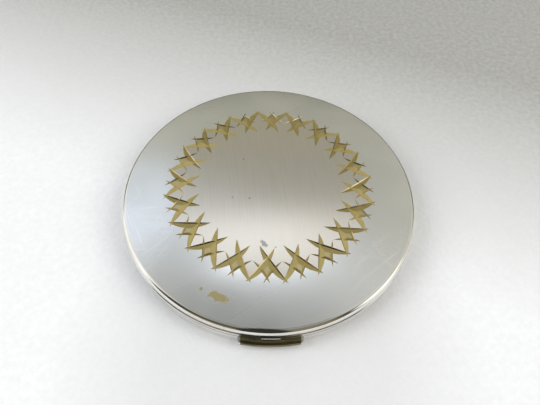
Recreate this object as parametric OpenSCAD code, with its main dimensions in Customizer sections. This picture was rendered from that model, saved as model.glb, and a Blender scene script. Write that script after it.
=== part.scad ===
// Round metal compact: a domed mirror lid on a rear hinge, a powder lid that rises with it,
// a powder pan with sifter and puff, and a sprung thumb catch at the front.
// X runs to the right, -Y to the catch, +Z up. The origin lies on the axis of the case,
// in the flat underside that it rests on.

/* [Base] */
// Diameter of the base, the widest round of the case
case_d = 82.4; // [80:0.2:86]
// Height of the base from its underside to the seam
base_h = 5.4; // [5.3:0.05:5.8]
// Thickness of the base's side wall
base_wall = 1; // [0.9:0.05:1.1]
// Thickness of the base's floor
base_floor = 0.7; // [0.6:0.05:0.75]
// Radius of the base's lower outer edge
base_round = 1; // [0.9:0.05:1.1]
// Height and width of the softened upper edge of the base
base_edge = 0.25; // [0.15:0.05:0.35]
// Height of the fine line round the base's side, above the underside
side_line_z = 3.9; // [3.7:0.1:4.2]
// Width of the fine line round the base's side
side_line_w = 0.3; // [0.2:0.05:0.4]
// Depth of the fine lines in the base's side and underside
line_depth = 0.12; // [0.08:0.02:0.16]
// How far the line turned in the underside stands inside the base's side
foot_line_inset = 8.2; // [6:0.1:11]

/* [Lid] */
// How far the lid's widest round stands inside the base's
lid_inset = 0.05; // [0:0.05:0.1]
// Radius of the rounding between the lid's face and its side
lid_edge_round = 1.5; // [1.4:0.05:1.6]
// Height of the lid's side, from its lower edge to the edge of its face
lid_side_h = 2.3; // [2.25:0.05:2.5]
// Radius of the sphere that the dome is a cap of
dome_r = 215; // [205:1:225]
// Thickness of the domed face
lid_t = 0.6; // [0.55:0.05:0.65]
// How far the inner face of the lid's side leans in, up to the edge of the face
lid_in_lean = 0.5; // [0.4:0.05:0.6]
// Gap between the dome's inner face and what stands beside the lid's side
nook_gap = 0.06; // [0.05:0.01:0.08]
// Radius of the rolled lower edge of the lid
lid_roll = 0.5; // [0.4:0.05:0.6]
// Gap between the lid's lower edge and the base
seam_gap = 0.1; // [0.08:0.01:0.15]
// Gap between the lid's side and the inner ring that it closes over
lid_run = 0.2; // [0.15:0.05:0.3]
// Width of the lip that lifts the lid
lip_w = 4.6; // [4:0.2:6]
// How far the lip hangs below the lid's lower edge
lip_drop = 1; // [0.6:0.1:1.1]
// Thickness of the lip
lip_t = 0.3; // [0.25:0.05:0.4]
// Gap between the lip and the base's side
lip_gap = 0.1; // [0.1:0.05:0.2]

/* [Star ring] */
// Number of stars in the ring
star_count = 20; // [16:1:22]
// Distance from the axis to where a star's two long cuts cross
long_cross_r = 22.1; // [20:0.1:24]
// Distance from the axis to where a star's two short cuts cross
short_cross_r = 28.2; // [27:0.1:29]
// Angle between a cut and its star's centre line, in degrees
cut_angle = 37.9; // [34:0.1:42]
// Length of a long cut from the crossing outwards
long_out = 8.8; // [8:0.1:9.5]
// Length of a star's first long cut from the crossing inwards
long_in_a = 3.5; // [2.5:0.1:4]
// Length of a star's second long cut from the crossing inwards
long_in_b = 2.8; // [2:0.1:3.5]
// Width of a long cut's broad facet at its middle
long_facet = 1.45; // [1.2:0.05:1.6]
// Width of a long cut's steep wall at its middle
long_wall = 0.3; // [0.2:0.02:0.36]
// Depth of a long cut at its middle
long_depth = 0.3; // [0.2:0.02:0.36]
// Length of a short cut from the crossing outwards
short_out = 1.4; // [1:0.1:1.8]
// Length of a short cut from the crossing inwards
short_in = 6; // [5:0.1:6.5]
// Width of a short cut's broad facet at its middle
short_facet = 0.5; // [0.4:0.05:0.6]
// Width of a short cut's steep wall at its middle
short_wall = 0.22; // [0.15:0.01:0.28]
// Depth of a short cut at its middle
short_depth = 0.22; // [0.15:0.01:0.28]
// Turn of the ring about the case's axis, in degrees
ring_turn = -2; // [-4:0.1:4]

/* [Main hinge] */
// Outer radius of the hinge's knuckles
hinge_r = 1; // [0.95:0.05:1.1]
// How far the hinge's axis stands inside the base's outer face
hinge_inset = 0.5; // [0.4:0.05:0.6]
// Length of the hinge
hinge_len = 16; // [14:0.5:18]
// Length of the hinge's middle knuckle
hinge_mid_len = 3.2; // [2.8:0.1:3.6]
// Length of each outer knuckle
hinge_end_len = 3; // [2.6:0.1:3.4]
// Gap between neighbouring knuckles
knuckle_gap = 0.1; // [0.08:0.01:0.15]
// Radius of the hinge pin
hinge_pin_r = 0.5; // [0.45:0.01:0.55]
// Running clearance of a pin in its knuckles
pin_run = 0.05; // [0.03:0.01:0.08]
// Clearance between the knuckles and the notches in the shells
notch_run = 0.25; // [0.2:0.05:0.3]
// Thickness of the hinge's leaves
leaf_t = 0.3; // [0.25:0.05:0.35]
// Height of the plate of the base's leaf
leaf_h = 1.1; // [0.9:0.05:1.2]

/* [Mirror] */
// Thickness of the mirror's glass
glass_t = 1.2; // [1.1:0.05:1.3]
// Width of the bevel round the mirror's face
glass_bevel = 0.5; // [0.3:0.05:0.7]
// Depth of the bevel round the mirror's face
glass_bevel_depth = 0.2; // [0.1:0.02:0.3]
// Thickness of the card behind the mirror
card_t = 0.3; // [0.25:0.01:0.35]
// Gap between the card's edge and the dome
card_gap = 0.05; // [0.04:0.01:0.1]
// Thickness of the mirror frame's sheet
frame_t = 0.35; // [0.3:0.01:0.4]
// How far the frame's lip covers the mirror's edge
frame_lip = 0.8; // [0.7:0.05:1]
// Gap between the frame and the mirror's edge
frame_run = 0.15; // [0.1:0.01:0.2]
// Height of the frame's cup round the mirror, above its flange
frame_cup_h = 0.9; // [0.7:0.05:1]
// Gap between the frame's skirt and the lid's side
frame_fit = 0.1; // [0.08:0.01:0.15]
// Radius of the bead pressed in the frame
frame_bead_r = 0.15; // [0.1:0.01:0.18]
// How far the bead stands inside the frame's skirt
frame_bead_inset = 3; // [2.6:0.1:3.4]
// Gap between the frame and what lies below it
frame_gap = 0.2; // [0.15:0.05:0.3]

/* [Powder well] */
// Distance from the base's outer side to the inside of the powder pan
well_border = 7.2; // [7:0.05:8]
// Thickness of the pan's sheet
pan_t = 0.4; // [0.35:0.01:0.45]
// How far the pan's rim stands above the seam
pan_rise = 0.1; // [0.05:0.01:0.15]
// Depth for powder under the sifter
powder_depth = 1.2; // [1.1:0.05:1.3]
// Width of the step that carries the sifter
step_w = 1; // [0.8:0.05:1.2]
// Depth of the deck below the seam
deck_drop = 0.4; // [0.35:0.01:0.45]
// Thickness of the inner ring's sheet
ring_t = 0.4; // [0.35:0.01:0.45]
// Gap between the inner ring and the base's side
ring_fit = 0.1; // [0.08:0.01:0.15]
// Gap between the deck and the pan
deck_fit = 0.1; // [0.08:0.01:0.15]
// Thickness of the sifter's rim
sifter_t = 0.3; // [0.25:0.01:0.35]
// Width of the sifter's rim
sifter_rim_w = 2.5; // [2:0.1:3]
// Gap between the sifter's rim and the pan
sifter_run = 0.2; // [0.15:0.05:0.3]
// Thickness of the sifter's gauze
gauze_t = 0.12; // [0.1:0.01:0.15]

/* [Puff] */
// Gap between the puff and the pan's side
puff_side_gap = 2; // [1.5:0.1:3]
// Gap between the puff and the sifter
puff_seat_gap = 0.12; // [0.1:0.01:0.2]
// Rise of the puff's top from its edge to its middle
puff_crown = 0.7; // [0.5:0.05:0.8]
// How far the puff's top and bottom edges draw in from its widest round
puff_waist = 0.5; // [0.3:0.05:0.7]
// Width of the ribbon across the puff
ribbon_w = 11; // [9:0.5:13]
// Thickness of the ribbon
ribbon_t = 0.2; // [0.15:0.01:0.25]
// Gap between the ribbon and the puff
ribbon_gap = 0.06; // [0.04:0.01:0.1]
// Gap between the ribbon and the powder lid
ribbon_headroom = 0.12; // [0.1:0.01:0.2]

/* [Powder lid] */
// Thickness of the powder lid's sheet
inner_t = 0.4; // [0.35:0.01:0.45]
// Gap between the pan's side and the powder lid's skirt
inner_run = 0.6; // [0.5:0.05:0.7]
// Gap under the powder lid where it meets the pan and the deck
seat_gap = 0.05; // [0.04:0.01:0.08]
// Rise of the powder lid's middle over its border
inner_panel_h = 0.3; // [0.2:0.02:0.34]
// Width of the border round the raised middle
inner_border = 3.4; // [3:0.1:4]
// Width of the slope between the border and the raised middle
inner_slope = 0.8; // [0.5:0.05:1]
// Outer radius of the powder lid's knuckles
inner_knuckle_r = 0.7; // [0.65:0.01:0.72]
// Gap between the powder lid's skirt and its knuckles
inner_axis_gap = 0.3; // [0.25:0.01:0.35]
// Gap between the knuckles and the bracket's plate
inner_floor_gap = 0.15; // [0.12:0.01:0.2]
// Radius of the powder lid's hinge pin
inner_pin_r = 0.35; // [0.32:0.01:0.36]
// Clearance of the powder lid's pin in its bracket
inner_pin_fit = 0.02; // [0.02:0.01:0.04]
// Distance between the outer faces of the bracket's lugs
bracket_w = 15.2; // [14:0.2:17]
// Thickness of the bracket's lugs and plate
bracket_t = 0.4; // [0.35:0.01:0.45]
// Gap between the torsion spring's wire and the powder lid's knuckles
coil_end_gap = 0.83; // [0.6:0.01:1.1]
// Radius of the bracket's rivets
bracket_rivet_r = 0.5; // [0.4:0.05:0.6]
// Height of a rivet's head
rivet_head_h = 0.2; // [0.15:0.01:0.25]
// Width of the rim that a rivet's head adds
rivet_head_rim = 0.3; // [0.2:0.05:0.35]
// Radius of the torsion spring's wire
wire_r = 0.17; // [0.15:0.01:0.18]
// Gap between the spring's coils and the pin
coil_run = 0.1; // [0.08:0.01:0.12]
// Number of turns in the torsion spring
coil_turns = 6; // [4:1:6]
// Length of the wound part of the torsion spring
coil_len = 5.4; // [5.2:0.1:5.8]
// Width of the finger tab at the powder lid's front
tab_w = 9; // [7:0.5:11]
// How far the finger tab stands out
tab_reach = 1; // [0.8:0.05:1.2]
// Thickness of the finger tab
tab_t = 0.3; // [0.25:0.01:0.35]

/* [Thumb catch] */
// Width of the thumb bar
bar_w = 15.8; // [14:0.2:17]
// Height of the thumb bar
bar_h = 2.3; // [2.2:0.05:2.4]
// Height of the thumb bar above the underside
bar_z = 0.9; // [0.85:0.05:0.95]
// How far the thumb bar stands out of the base's side
bar_proud = 1.3; // [1.1:0.05:1.5]
// How far the thumb bar can be pressed in
catch_travel = 0.8; // [0.7:0.05:0.9]
// Number of grooves along the thumb bar
bar_grooves = 3; // [2:1:3]
// Radius of the grooves along the thumb bar
bar_groove_r = 0.14; // [0.1:0.01:0.16]
// Angle between neighbouring grooves, in degrees
bar_groove_step = 38; // [34:1:42]
// Gap between the thumb bar and its window
bar_run = 0.15; // [0.1:0.01:0.2]
// Thickness of the slide behind the bar
slide_t = 0.6; // [0.5:0.05:0.7]
// Width of the slide
slide_w = 10.4; // [9:0.2:11]
// Gap between the slide and its guide
slide_run = 0.1; // [0.08:0.01:0.12]
// Thickness of the guide's walls
guide_t = 0.4; // [0.35:0.01:0.45]
// How far the guide's lips reach over the slide
guide_lip = 0.7; // [0.6:0.05:0.8]
// Gap between the guide and the pan
guide_gap = 0.6; // [0.5:0.05:0.7]
// Thickness of the hook's strip
hook_t = 0.6; // [0.5:0.05:0.65]
// Width of the hook's strip
hook_w = 4; // [3.6:0.1:4.4]
// Gap between the inner ring and the hook
hook_gap = 0.8; // [0.7:0.05:0.9]
// Height of the hook's nose
nose_h = 0.35; // [0.3:0.01:0.4]
// Gap between the nose and the catch plate
nose_gap = 0.15; // [0.12:0.01:0.2]
// Length of the hook's foot on the slide
hook_foot = 0.9; // [0.8:0.05:1]
// Radius of the hook's rivet
hook_rivet_r = 0.3; // [0.25:0.01:0.32]
// Width of the rim that the head of the hook's rivet adds
hook_head_rim = 0.08; // [0.06:0.01:0.12]
// Thickness of the catch plate inside the lid
plate_t = 0.25; // [0.2:0.01:0.3]
// Thickness of the rolled lower edge of the catch plate
plate_hem_t = 0.5; // [0.45:0.01:0.55]
// Height of the rolled lower edge of the catch plate
plate_hem_h = 0.3; // [0.25:0.01:0.35]
// Thickness of the catch's leaf spring
leaf_spring_t = 0.2; // [0.15:0.01:0.25]
// Width of the catch's leaf spring
leaf_spring_w = 1; // [0.8:0.05:1.2]

/* [Hidden] */
$fn = 96;
// Facets in the large circles that the case is turned from
case_fn = 180;
dome_fn = 720;
// How far a cutting solid runs past what it cuts
over = 1;
// Gap between soldered sheets
solder = 0.02;

// The case's rounds
case_r = case_d / 2;
base_in_r = case_r - base_wall;
foot_line_r = case_r - foot_line_inset;
ring_r = base_in_r - ring_fit;
ring_in_r = ring_r - ring_t;
lid_r = case_r - lid_inset;
lid_in_r = ring_r + lid_run;
// The rounding and the dome run into each other where both face the same way
lid_edge_r = (lid_r - lid_edge_round) / (1 - lid_edge_round / dome_r);

// Heights from the underside up
deck_top = base_h - deck_drop;
deck_z = deck_top - ring_t;
pan_top = base_h + pan_rise;
inner_z = pan_top + seat_gap;
inner_top = inner_z + inner_t;
inner_axis_z = deck_z + inner_floor_gap + inner_knuckle_r;
frame_z = max(inner_axis_z + inner_knuckle_r, inner_top + frame_bead_r) + frame_gap;
glass_z = frame_z + frame_t;
card_z = glass_z + glass_t;
card_top = card_z + card_t;
ring_top = frame_z - frame_gap;
lid_z = base_h + seam_gap;
lid_edge_z = lid_z + lid_side_h;
dome_centre_z = lid_edge_z - sqrt(dome_r * dome_r - lid_edge_r * lid_edge_r);
lid_top = dome_centre_z + dome_r;
// Height of the dome's outer face at a distance r from the axis
function dome_z(r) = dome_centre_z + sqrt(dome_r * dome_r - r * r);
// Distance from the axis at which the dome's inner face has the height z
function dome_in_r(z) = sqrt(pow(dome_r - lid_t, 2) - pow(z - dome_centre_z, 2));
// Distance from the axis to the inner face of the lid's side at the height z
function side_in_r(z) = lid_in_r - lid_in_lean * (z - ring_top) / (lid_edge_z - ring_top);
// Height of what stands in the nook between the lid's side and the dome
nook_top = dome_centre_z + sqrt(pow(dome_r - lid_t, 2) - lid_in_r * lid_in_r) - nook_gap;
// The mirror is as wide as the dome leaves room for
mirror_r = dome_in_r(card_top + card_gap) - card_gap;

// The main hinge lies in the seam
hinge_y = case_r - hinge_inset;
hinge_z = base_h;
notch_half = hinge_len / 2 + notch_run;
notch_low = hinge_z - hinge_r - notch_run;
notch_high = hinge_z + hinge_r + notch_run;
lid_knuckle_in = hinge_mid_len / 2 + knuckle_gap;
lid_knuckle_out = hinge_len / 2 - hinge_end_len - knuckle_gap;

// The powder well and its lid
pan_in_r = case_r - well_border;
pan_r = pan_in_r + pan_t;
step_z = base_floor + pan_t + powder_depth;
inner_skirt_in_r = pan_r + inner_run;
inner_r = inner_skirt_in_r + inner_t;
inner_axis_y = inner_r + inner_axis_gap + inner_knuckle_r;
inner_knuckle_out = bracket_w / 2 - bracket_t - knuckle_gap;
inner_knuckle_in = coil_len / 2 + wire_r + coil_end_gap;
puff_r = pan_in_r - puff_side_gap;
puff_z = step_z + sifter_t + puff_seat_gap;
puff_top = pan_top - ribbon_headroom - ribbon_t - ribbon_gap;
puff_h = puff_top - puff_z;
coil_r = inner_pin_r + coil_run + wire_r;
bracket_back = ring_in_r - hook_gap;
bracket_front = pan_r + inner_run;

// The catch
bar_nose_r = bar_h / 2;
bar_nose_z = bar_z + bar_nose_r;
bar_back = ring_in_r - solder;
slide_z = bar_nose_z - slide_t / 2;
slide_top = slide_z + slide_t;
hook_out = ring_in_r - hook_gap;
hook_in = hook_out - hook_t;
slide_back = hook_in - hook_foot;
guide_front = bar_back - catch_travel - bar_run;
guide_back = pan_r + guide_gap;
plate_z = ring_top + frame_gap;
plate_hem_r = side_in_r(plate_z) - solder - plate_hem_t;
nose_z = plate_z + plate_hem_h + nose_gap;
nose_r = plate_hem_r - nose_gap;
hook_notch_half = hook_w / 2 + bar_run * 2;
hook_notch_in = hook_in - catch_travel - bar_run * 2;
hook_notch_out = hook_out + bar_run * 2;

// Helpers
// A box between two corners
module block(low, high) {
    translate(low) cube(high - low);
}

// A solid turned about the axis of the case from an outline of distances and heights
module turned(outline) {
    rotate_extrude($fn = case_fn) polygon(outline);
}

// A rod along X from x0 to x1, centred at the height z and the distance y
module rod(x0, x1, y, z, r) {
    translate([x0, y, z]) rotate([0, 90, 0]) cylinder(r = r, h = x1 - x0, $fn = 48);
}

// The space between -half and half along X, from y0 to y1 and from z0 to z1
module slab(half, y0, y1, z0, z1) {
    block([-half, y0, z0], [half, y1, z1]);
}

// Base
module base_outline() {
    translate([case_r - base_round, base_round]) circle(r = base_round);
    polygon([[0, 0], [case_r - base_round, 0], [case_r - base_round, base_round],
        [case_r, base_round], [case_r, base_h - base_edge], [case_r - base_edge, base_h], [0, base_h]]);
}

module base_shell() {
    color("gainsboro") difference() {
        rotate_extrude($fn = case_fn) base_outline();
        translate([0, 0, base_floor]) cylinder(r = base_in_r, h = base_h, $fn = case_fn);
        // Fine line round the side
        turned([[case_r - line_depth, side_line_z], [case_r + over, side_line_z - side_line_w / 2
            - (over / line_depth) * side_line_w / 2], [case_r + over, side_line_z + side_line_w / 2
            + (over / line_depth) * side_line_w / 2]]);
        // Fine line in the underside
        turned([[foot_line_r, line_depth], [foot_line_r - side_line_w / 2, 0],
            [foot_line_r - side_line_w / 2, -over], [foot_line_r + side_line_w / 2, -over],
            [foot_line_r + side_line_w / 2, 0]]);
        thumb_window();
        hinge_notch(notch_low, base_h + over);
    }
}

// The window that the thumb bar slides through
module thumb_window() {
    slab(bar_w / 2 + bar_run, -case_r - over, -guide_front, bar_z - bar_run, bar_z + bar_h + bar_run);
}

// The notch at the rear that the knuckles turn in
module hinge_notch(z0, z1) {
    slab(notch_half, ring_in_r - over, case_r + over, z0, z1);
}

// Main hinge
module knuckle(x0, x1) {
    rod(x0, x1, hinge_y, hinge_z, hinge_r);
}

module base_hinge_leaf() {
    leaf_r = base_in_r - solder;
    web_top = hinge_z - hinge_r + leaf_t;
    ends = [[-hinge_len / 2, -hinge_len / 2 + hinge_end_len], [-hinge_mid_len / 2, hinge_mid_len / 2],
        [hinge_len / 2 - hinge_end_len, hinge_len / 2]];
    color("darkgoldenrod") difference() {
        union() {
            intersection() {
                turned([[leaf_r - leaf_t, web_top - leaf_h], [leaf_r, web_top - leaf_h],
                    [leaf_r, web_top], [leaf_r - leaf_t, web_top]]);
                slab(hinge_len / 2, 0, case_r, 0, base_h);
            }
            for (e = ends) {
                knuckle(e[0], e[1]);
                block([e[0], ring_in_r - 2 * leaf_t, hinge_z - hinge_r], [e[1], hinge_y, web_top]);
            }
        }
        rod(-hinge_len, hinge_len, hinge_y, hinge_z, hinge_pin_r + pin_run);
        for (side = [0, 1]) mirror([side, 0, 0]) rod(lid_knuckle_in - knuckle_gap,
            lid_knuckle_out + knuckle_gap, hinge_y, hinge_z, hinge_r + notch_run);
    }
}

module lid_hinge_leaf() {
    web_z = hinge_z + hinge_r - leaf_t;
    ends = [[-lid_knuckle_out, -lid_knuckle_in], [lid_knuckle_in, lid_knuckle_out]];
    color("darkgoldenrod") difference() {
        union() {
            intersection() {
                turned([[side_in_r(web_z) - solder - leaf_t, web_z], [side_in_r(web_z) - solder, web_z],
                    [side_in_r(nook_top) - solder, nook_top],
                    [side_in_r(nook_top) - solder - leaf_t, nook_top]]);
                slab(lid_knuckle_out, 0, case_r, 0, lid_top);
            }
            for (e = ends) {
                knuckle(e[0], e[1]);
                block([e[0], ring_in_r, web_z], [e[1], hinge_y, web_z + leaf_t]);
            }
        }
        rod(-hinge_len, hinge_len, hinge_y, hinge_z, hinge_pin_r + pin_run);
        rod(-lid_knuckle_in, lid_knuckle_in, hinge_y, hinge_z, hinge_r + notch_run);
    }
}

module hinge_pin() {
    color("darkgray") rod(-hinge_len / 2 - knuckle_gap, hinge_len / 2 + knuckle_gap,
        hinge_y, hinge_z, hinge_pin_r);
}

// Powder well
module inner_ring() {
    color("goldenrod") difference() {
        turned([[ring_in_r, base_floor], [ring_r, base_floor], [ring_r, ring_top],
            [ring_in_r, ring_top], [ring_in_r, deck_top], [pan_r + deck_fit, deck_top],
            [pan_r + deck_fit, deck_z], [ring_in_r, deck_z]]);
        thumb_window();
        // Relief for the leaf and knuckles of the main hinge
        difference() {
            slab(notch_half, pan_r, case_r, notch_low - leaf_h, ring_top + over);
            cylinder(r = ring_in_r - 3 * leaf_t, h = lid_top, $fn = case_fn);
        }
        // Slot for the catch's hook
        slab(hook_notch_half, -hook_notch_out, -hook_notch_in, deck_z - over, deck_top + over);
        // Notch for the powder lid's hinge
        slab(bracket_w / 2 + bar_run, pan_in_r, inner_axis_y + inner_knuckle_r + bar_run,
            deck_z - over, deck_top + over);
        bracket_rivet_places() translate([0, 0, deck_z - over])
            cylinder(r = bracket_rivet_r + solder, h = ring_t + 2 * over, $fn = 32);
    }
}

module powder_pan() {
    color("goldenrod") turned([[0, base_floor], [pan_r - step_w, base_floor],
        [pan_r - step_w, step_z - pan_t], [pan_r, step_z - pan_t], [pan_r, pan_top],
        [pan_in_r, pan_top], [pan_in_r, step_z], [pan_in_r - step_w, step_z],
        [pan_in_r - step_w, base_floor + pan_t], [0, base_floor + pan_t]]);
}

module sifter_rim() {
    rim_r = pan_in_r - sifter_run;
    color("gold") turned([[rim_r - sifter_rim_w, step_z], [rim_r, step_z],
        [rim_r, step_z + sifter_t], [rim_r - sifter_rim_w, step_z + sifter_t]]);
}

module sifter_gauze() {
    color("ivory") translate([0, 0, step_z - gauze_t])
        cylinder(r = pan_in_r - step_w - sifter_run, h = gauze_t, $fn = case_fn);
}

// Puff
// Half of the puff's outline, grown by g: a crowned top and a side that draws in at the seam
function puff_half(g) = let (
        edge_h = puff_h - puff_crown,
        steps = 12,
        crown = [for (i = [0 : steps]) let (s = i / steps)
            [(puff_r - puff_waist) * s, puff_z + edge_h + puff_crown * (1 - s * s) + g]],
        side = [for (i = [1 : steps]) let (a = 180 * i / steps)
            [puff_r - puff_waist + (puff_waist + g) * sin(a),
                puff_z + edge_h / 2 + (edge_h / 2 + g) * cos(a)]])
    concat(crown, side, [[0, puff_z - g]]);

module puff_pad() {
    color("lightpink") turned(puff_half(0));
}

module puff_ribbon() {
    color("palevioletred") intersection() {
        difference() {
            turned(puff_half(ribbon_gap + ribbon_t));
            turned(puff_half(ribbon_gap));
        }
        block([-case_r, -ribbon_w / 2, puff_z + (puff_h - puff_crown) / 2],
            [case_r, ribbon_w / 2, lid_top]);
    }
}

// Powder lid
module powder_lid() {
    panel_r = inner_r - inner_border;
    color("gold") turned([[0, inner_z + inner_panel_h], [panel_r - inner_slope, inner_z + inner_panel_h],
        [panel_r, inner_z], [inner_skirt_in_r, inner_z], [inner_skirt_in_r, deck_top + seat_gap],
        [inner_r, deck_top + seat_gap], [inner_r, inner_top], [panel_r, inner_top],
        [panel_r - inner_slope, inner_top + inner_panel_h], [0, inner_top + inner_panel_h]]);
}

module powder_lid_knuckles() {
    color("goldenrod") for (side = [0, 1]) mirror([side, 0, 0]) difference() {
        union() {
            rod(inner_knuckle_in, inner_knuckle_out, inner_axis_y, inner_axis_z, inner_knuckle_r);
            // Arm that reaches the powder lid's skirt
            intersection() {
                block([inner_knuckle_in, pan_r, inner_axis_z], [inner_knuckle_out, inner_axis_y,
                    inner_axis_z + inner_knuckle_r / 2]);
                difference() {
                    cylinder(r = case_r, h = lid_top);
                    translate([0, 0, -over]) cylinder(r = inner_r + solder, h = lid_top + 2 * over,
                        $fn = case_fn);
                }
            }
        }
        rod(0, bracket_w, inner_axis_y, inner_axis_z, inner_pin_r + pin_run);
    }
}

module powder_lid_tab() {
    corner = tab_reach / 2;
    reach = inner_r + tab_reach;
    z0 = deck_top + seat_gap + tab_t;
    color("goldenrod") translate([0, 0, z0]) linear_extrude(height = tab_t) difference() {
        union() {
            translate([-tab_w / 2, -reach + corner]) square([tab_w, reach]);
            translate([-tab_w / 2 + corner, -reach]) square([tab_w - 2 * corner, reach]);
            for (side = [-1, 1]) translate([side * (tab_w / 2 - corner), -reach + corner])
                circle(r = corner, $fn = 32);
        }
        circle(r = inner_r + solder, $fn = case_fn);
        translate([-case_r, 0]) square([case_d, case_d]);
    }
}

module bracket_rivet_places() {
    rivet_y = (inner_axis_y + inner_knuckle_r + bracket_back) / 2;
    for (side = [-1, 1]) translate([side * bracket_w / 4, rivet_y, 0]) children();
}

module powder_lid_bracket() {
    eye_r = inner_knuckle_r;
    color("darkgoldenrod") difference() {
        union() {
            slab(bracket_w / 2, bracket_front, bracket_back, deck_z - bracket_t, deck_z);
            for (side = [0, 1]) mirror([side, 0, 0]) {
                rod(bracket_w / 2 - bracket_t, bracket_w / 2, inner_axis_y, inner_axis_z, eye_r);
                block([bracket_w / 2 - bracket_t, inner_axis_y - eye_r, deck_z - bracket_t],
                    [bracket_w / 2, inner_axis_y + eye_r, inner_axis_z]);
            }
        }
        rod(-bracket_w, bracket_w, inner_axis_y, inner_axis_z, inner_pin_r + inner_pin_fit);
        bracket_rivet_places() translate([0, 0, deck_z - bracket_t - over])
            cylinder(r = bracket_rivet_r + solder, h = bracket_t + 2 * over, $fn = 32);
    }
}

module bracket_rivets() {
    color("gainsboro") bracket_rivet_places() {
        translate([0, 0, deck_z - bracket_t]) cylinder(r = bracket_rivet_r, h = bracket_t + ring_t, $fn = 32);
        translate([0, 0, deck_top])
            cylinder(r = bracket_rivet_r + rivet_head_rim, h = rivet_head_h, $fn = 32);
        translate([0, 0, deck_z - bracket_t - rivet_head_h])
            cylinder(r = bracket_rivet_r + rivet_head_rim, h = rivet_head_h, $fn = 32);
    }
}

module powder_lid_pin() {
    color("darkgray") rod(-bracket_w / 2 - knuckle_gap, bracket_w / 2 + knuckle_gap,
        inner_axis_y, inner_axis_z, inner_pin_r);
}

// The torsion spring's path: a front leg, the coils and a rear leg
coil_steps = 8;
coil_points = [for (i = [0 : coil_turns * coil_steps]) let (a = 360 * i / coil_steps - 90)
    [-coil_len / 2 + coil_len * i / (coil_turns * coil_steps),
        inner_axis_y + coil_r * cos(a), inner_axis_z + coil_r * sin(a)]];
coil_radials = [for (i = [0 : coil_turns * coil_steps]) let (a = 360 * i / coil_steps - 90)
    [0, cos(a), sin(a)]];
coil_path = concat([coil_points[0] - [0, inner_axis_gap + inner_knuckle_r + inner_t, 0]], coil_points,
    [coil_points[coil_turns * coil_steps] + [0, inner_knuckle_r, 0]]);
coil_ups = concat([[0, 0, -1]], coil_radials, [[0, 0, -1]]);
// Points less than three quarters of a turn apart are neighbours on the wire and aren't compared
coil_gap = min([for (i = [0 : len(coil_points) - 1]) for (j = [0 : len(coil_points) - 1])
    if (j - i >= coil_steps * 3 / 4) norm(coil_points[i] - coil_points[j])]) - 2 * wire_r;
echo(least_gap_between_coils = coil_gap);

// One unbroken tube of the radius r along a path, with a direction across it at each point
module swept_tube(path, ups, r, sides) {
    count = len(path);
    function heading(i) = path[min(i + 1, count - 1)] - path[max(i - 1, 0)];
    function unit(v) = v / norm(v);
    function ring(i) = let (t = unit(heading(i)), v = unit(cross(t, ups[i])), u = cross(v, t))
        [for (k = [0 : sides - 1]) path[i] + r * (cos(360 * k / sides) * u + sin(360 * k / sides) * v)];
    points = [for (i = [0 : count - 1]) each ring(i)];
    walls = [for (i = [0 : count - 2]) for (k = [0 : sides - 1]) let (n = (k + 1) % sides)
        each [[i * sides + k, (i + 1) * sides + k, (i + 1) * sides + n],
            [i * sides + k, (i + 1) * sides + n, i * sides + n]]];
    caps = [[for (k = [0 : sides - 1]) k], [for (k = [sides - 1 : -1 : 0]) (count - 1) * sides + k]];
    polyhedron(points = points, faces = concat(walls, caps));
}

module powder_lid_spring() {
    color("silver") swept_tube(coil_path, coil_ups, wire_r, 6);
}

// Lid
// Centres of the rolled lower edge and of the rounding at the face
roll_centre = [lid_r - lid_roll, lid_z + lid_roll];
round_centre = [lid_r - lid_edge_round, lid_edge_z + (dome_centre_z - lid_edge_z) * lid_edge_round / dome_r];

module lid_outline() {
    translate(roll_centre) circle(r = lid_roll);
    polygon([[0, lid_z], [roll_centre.x, lid_z], roll_centre, [lid_r, roll_centre.y], [lid_r, round_centre.y],
        round_centre, [lid_edge_r, lid_edge_z], [0, lid_edge_z]]);
    translate(round_centre) intersection() {
        circle(r = lid_edge_round);
        square(lid_edge_round);
    }
    intersection() {
        translate([0, dome_centre_z]) circle(r = dome_r, $fn = dome_fn);
        translate([0, lid_z]) square([lid_edge_r, lid_top]);
    }
}

module lid_hollow() {
    intersection() {
        translate([0, dome_centre_z]) circle(r = dome_r - lid_t, $fn = dome_fn);
        polygon([[0, lid_z - over], [lid_in_r, lid_z - over], [lid_in_r, ring_top],
            [side_in_r(lid_edge_z), lid_edge_z], [side_in_r(lid_edge_z), lid_top], [0, lid_top]]);
    }
}

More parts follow.
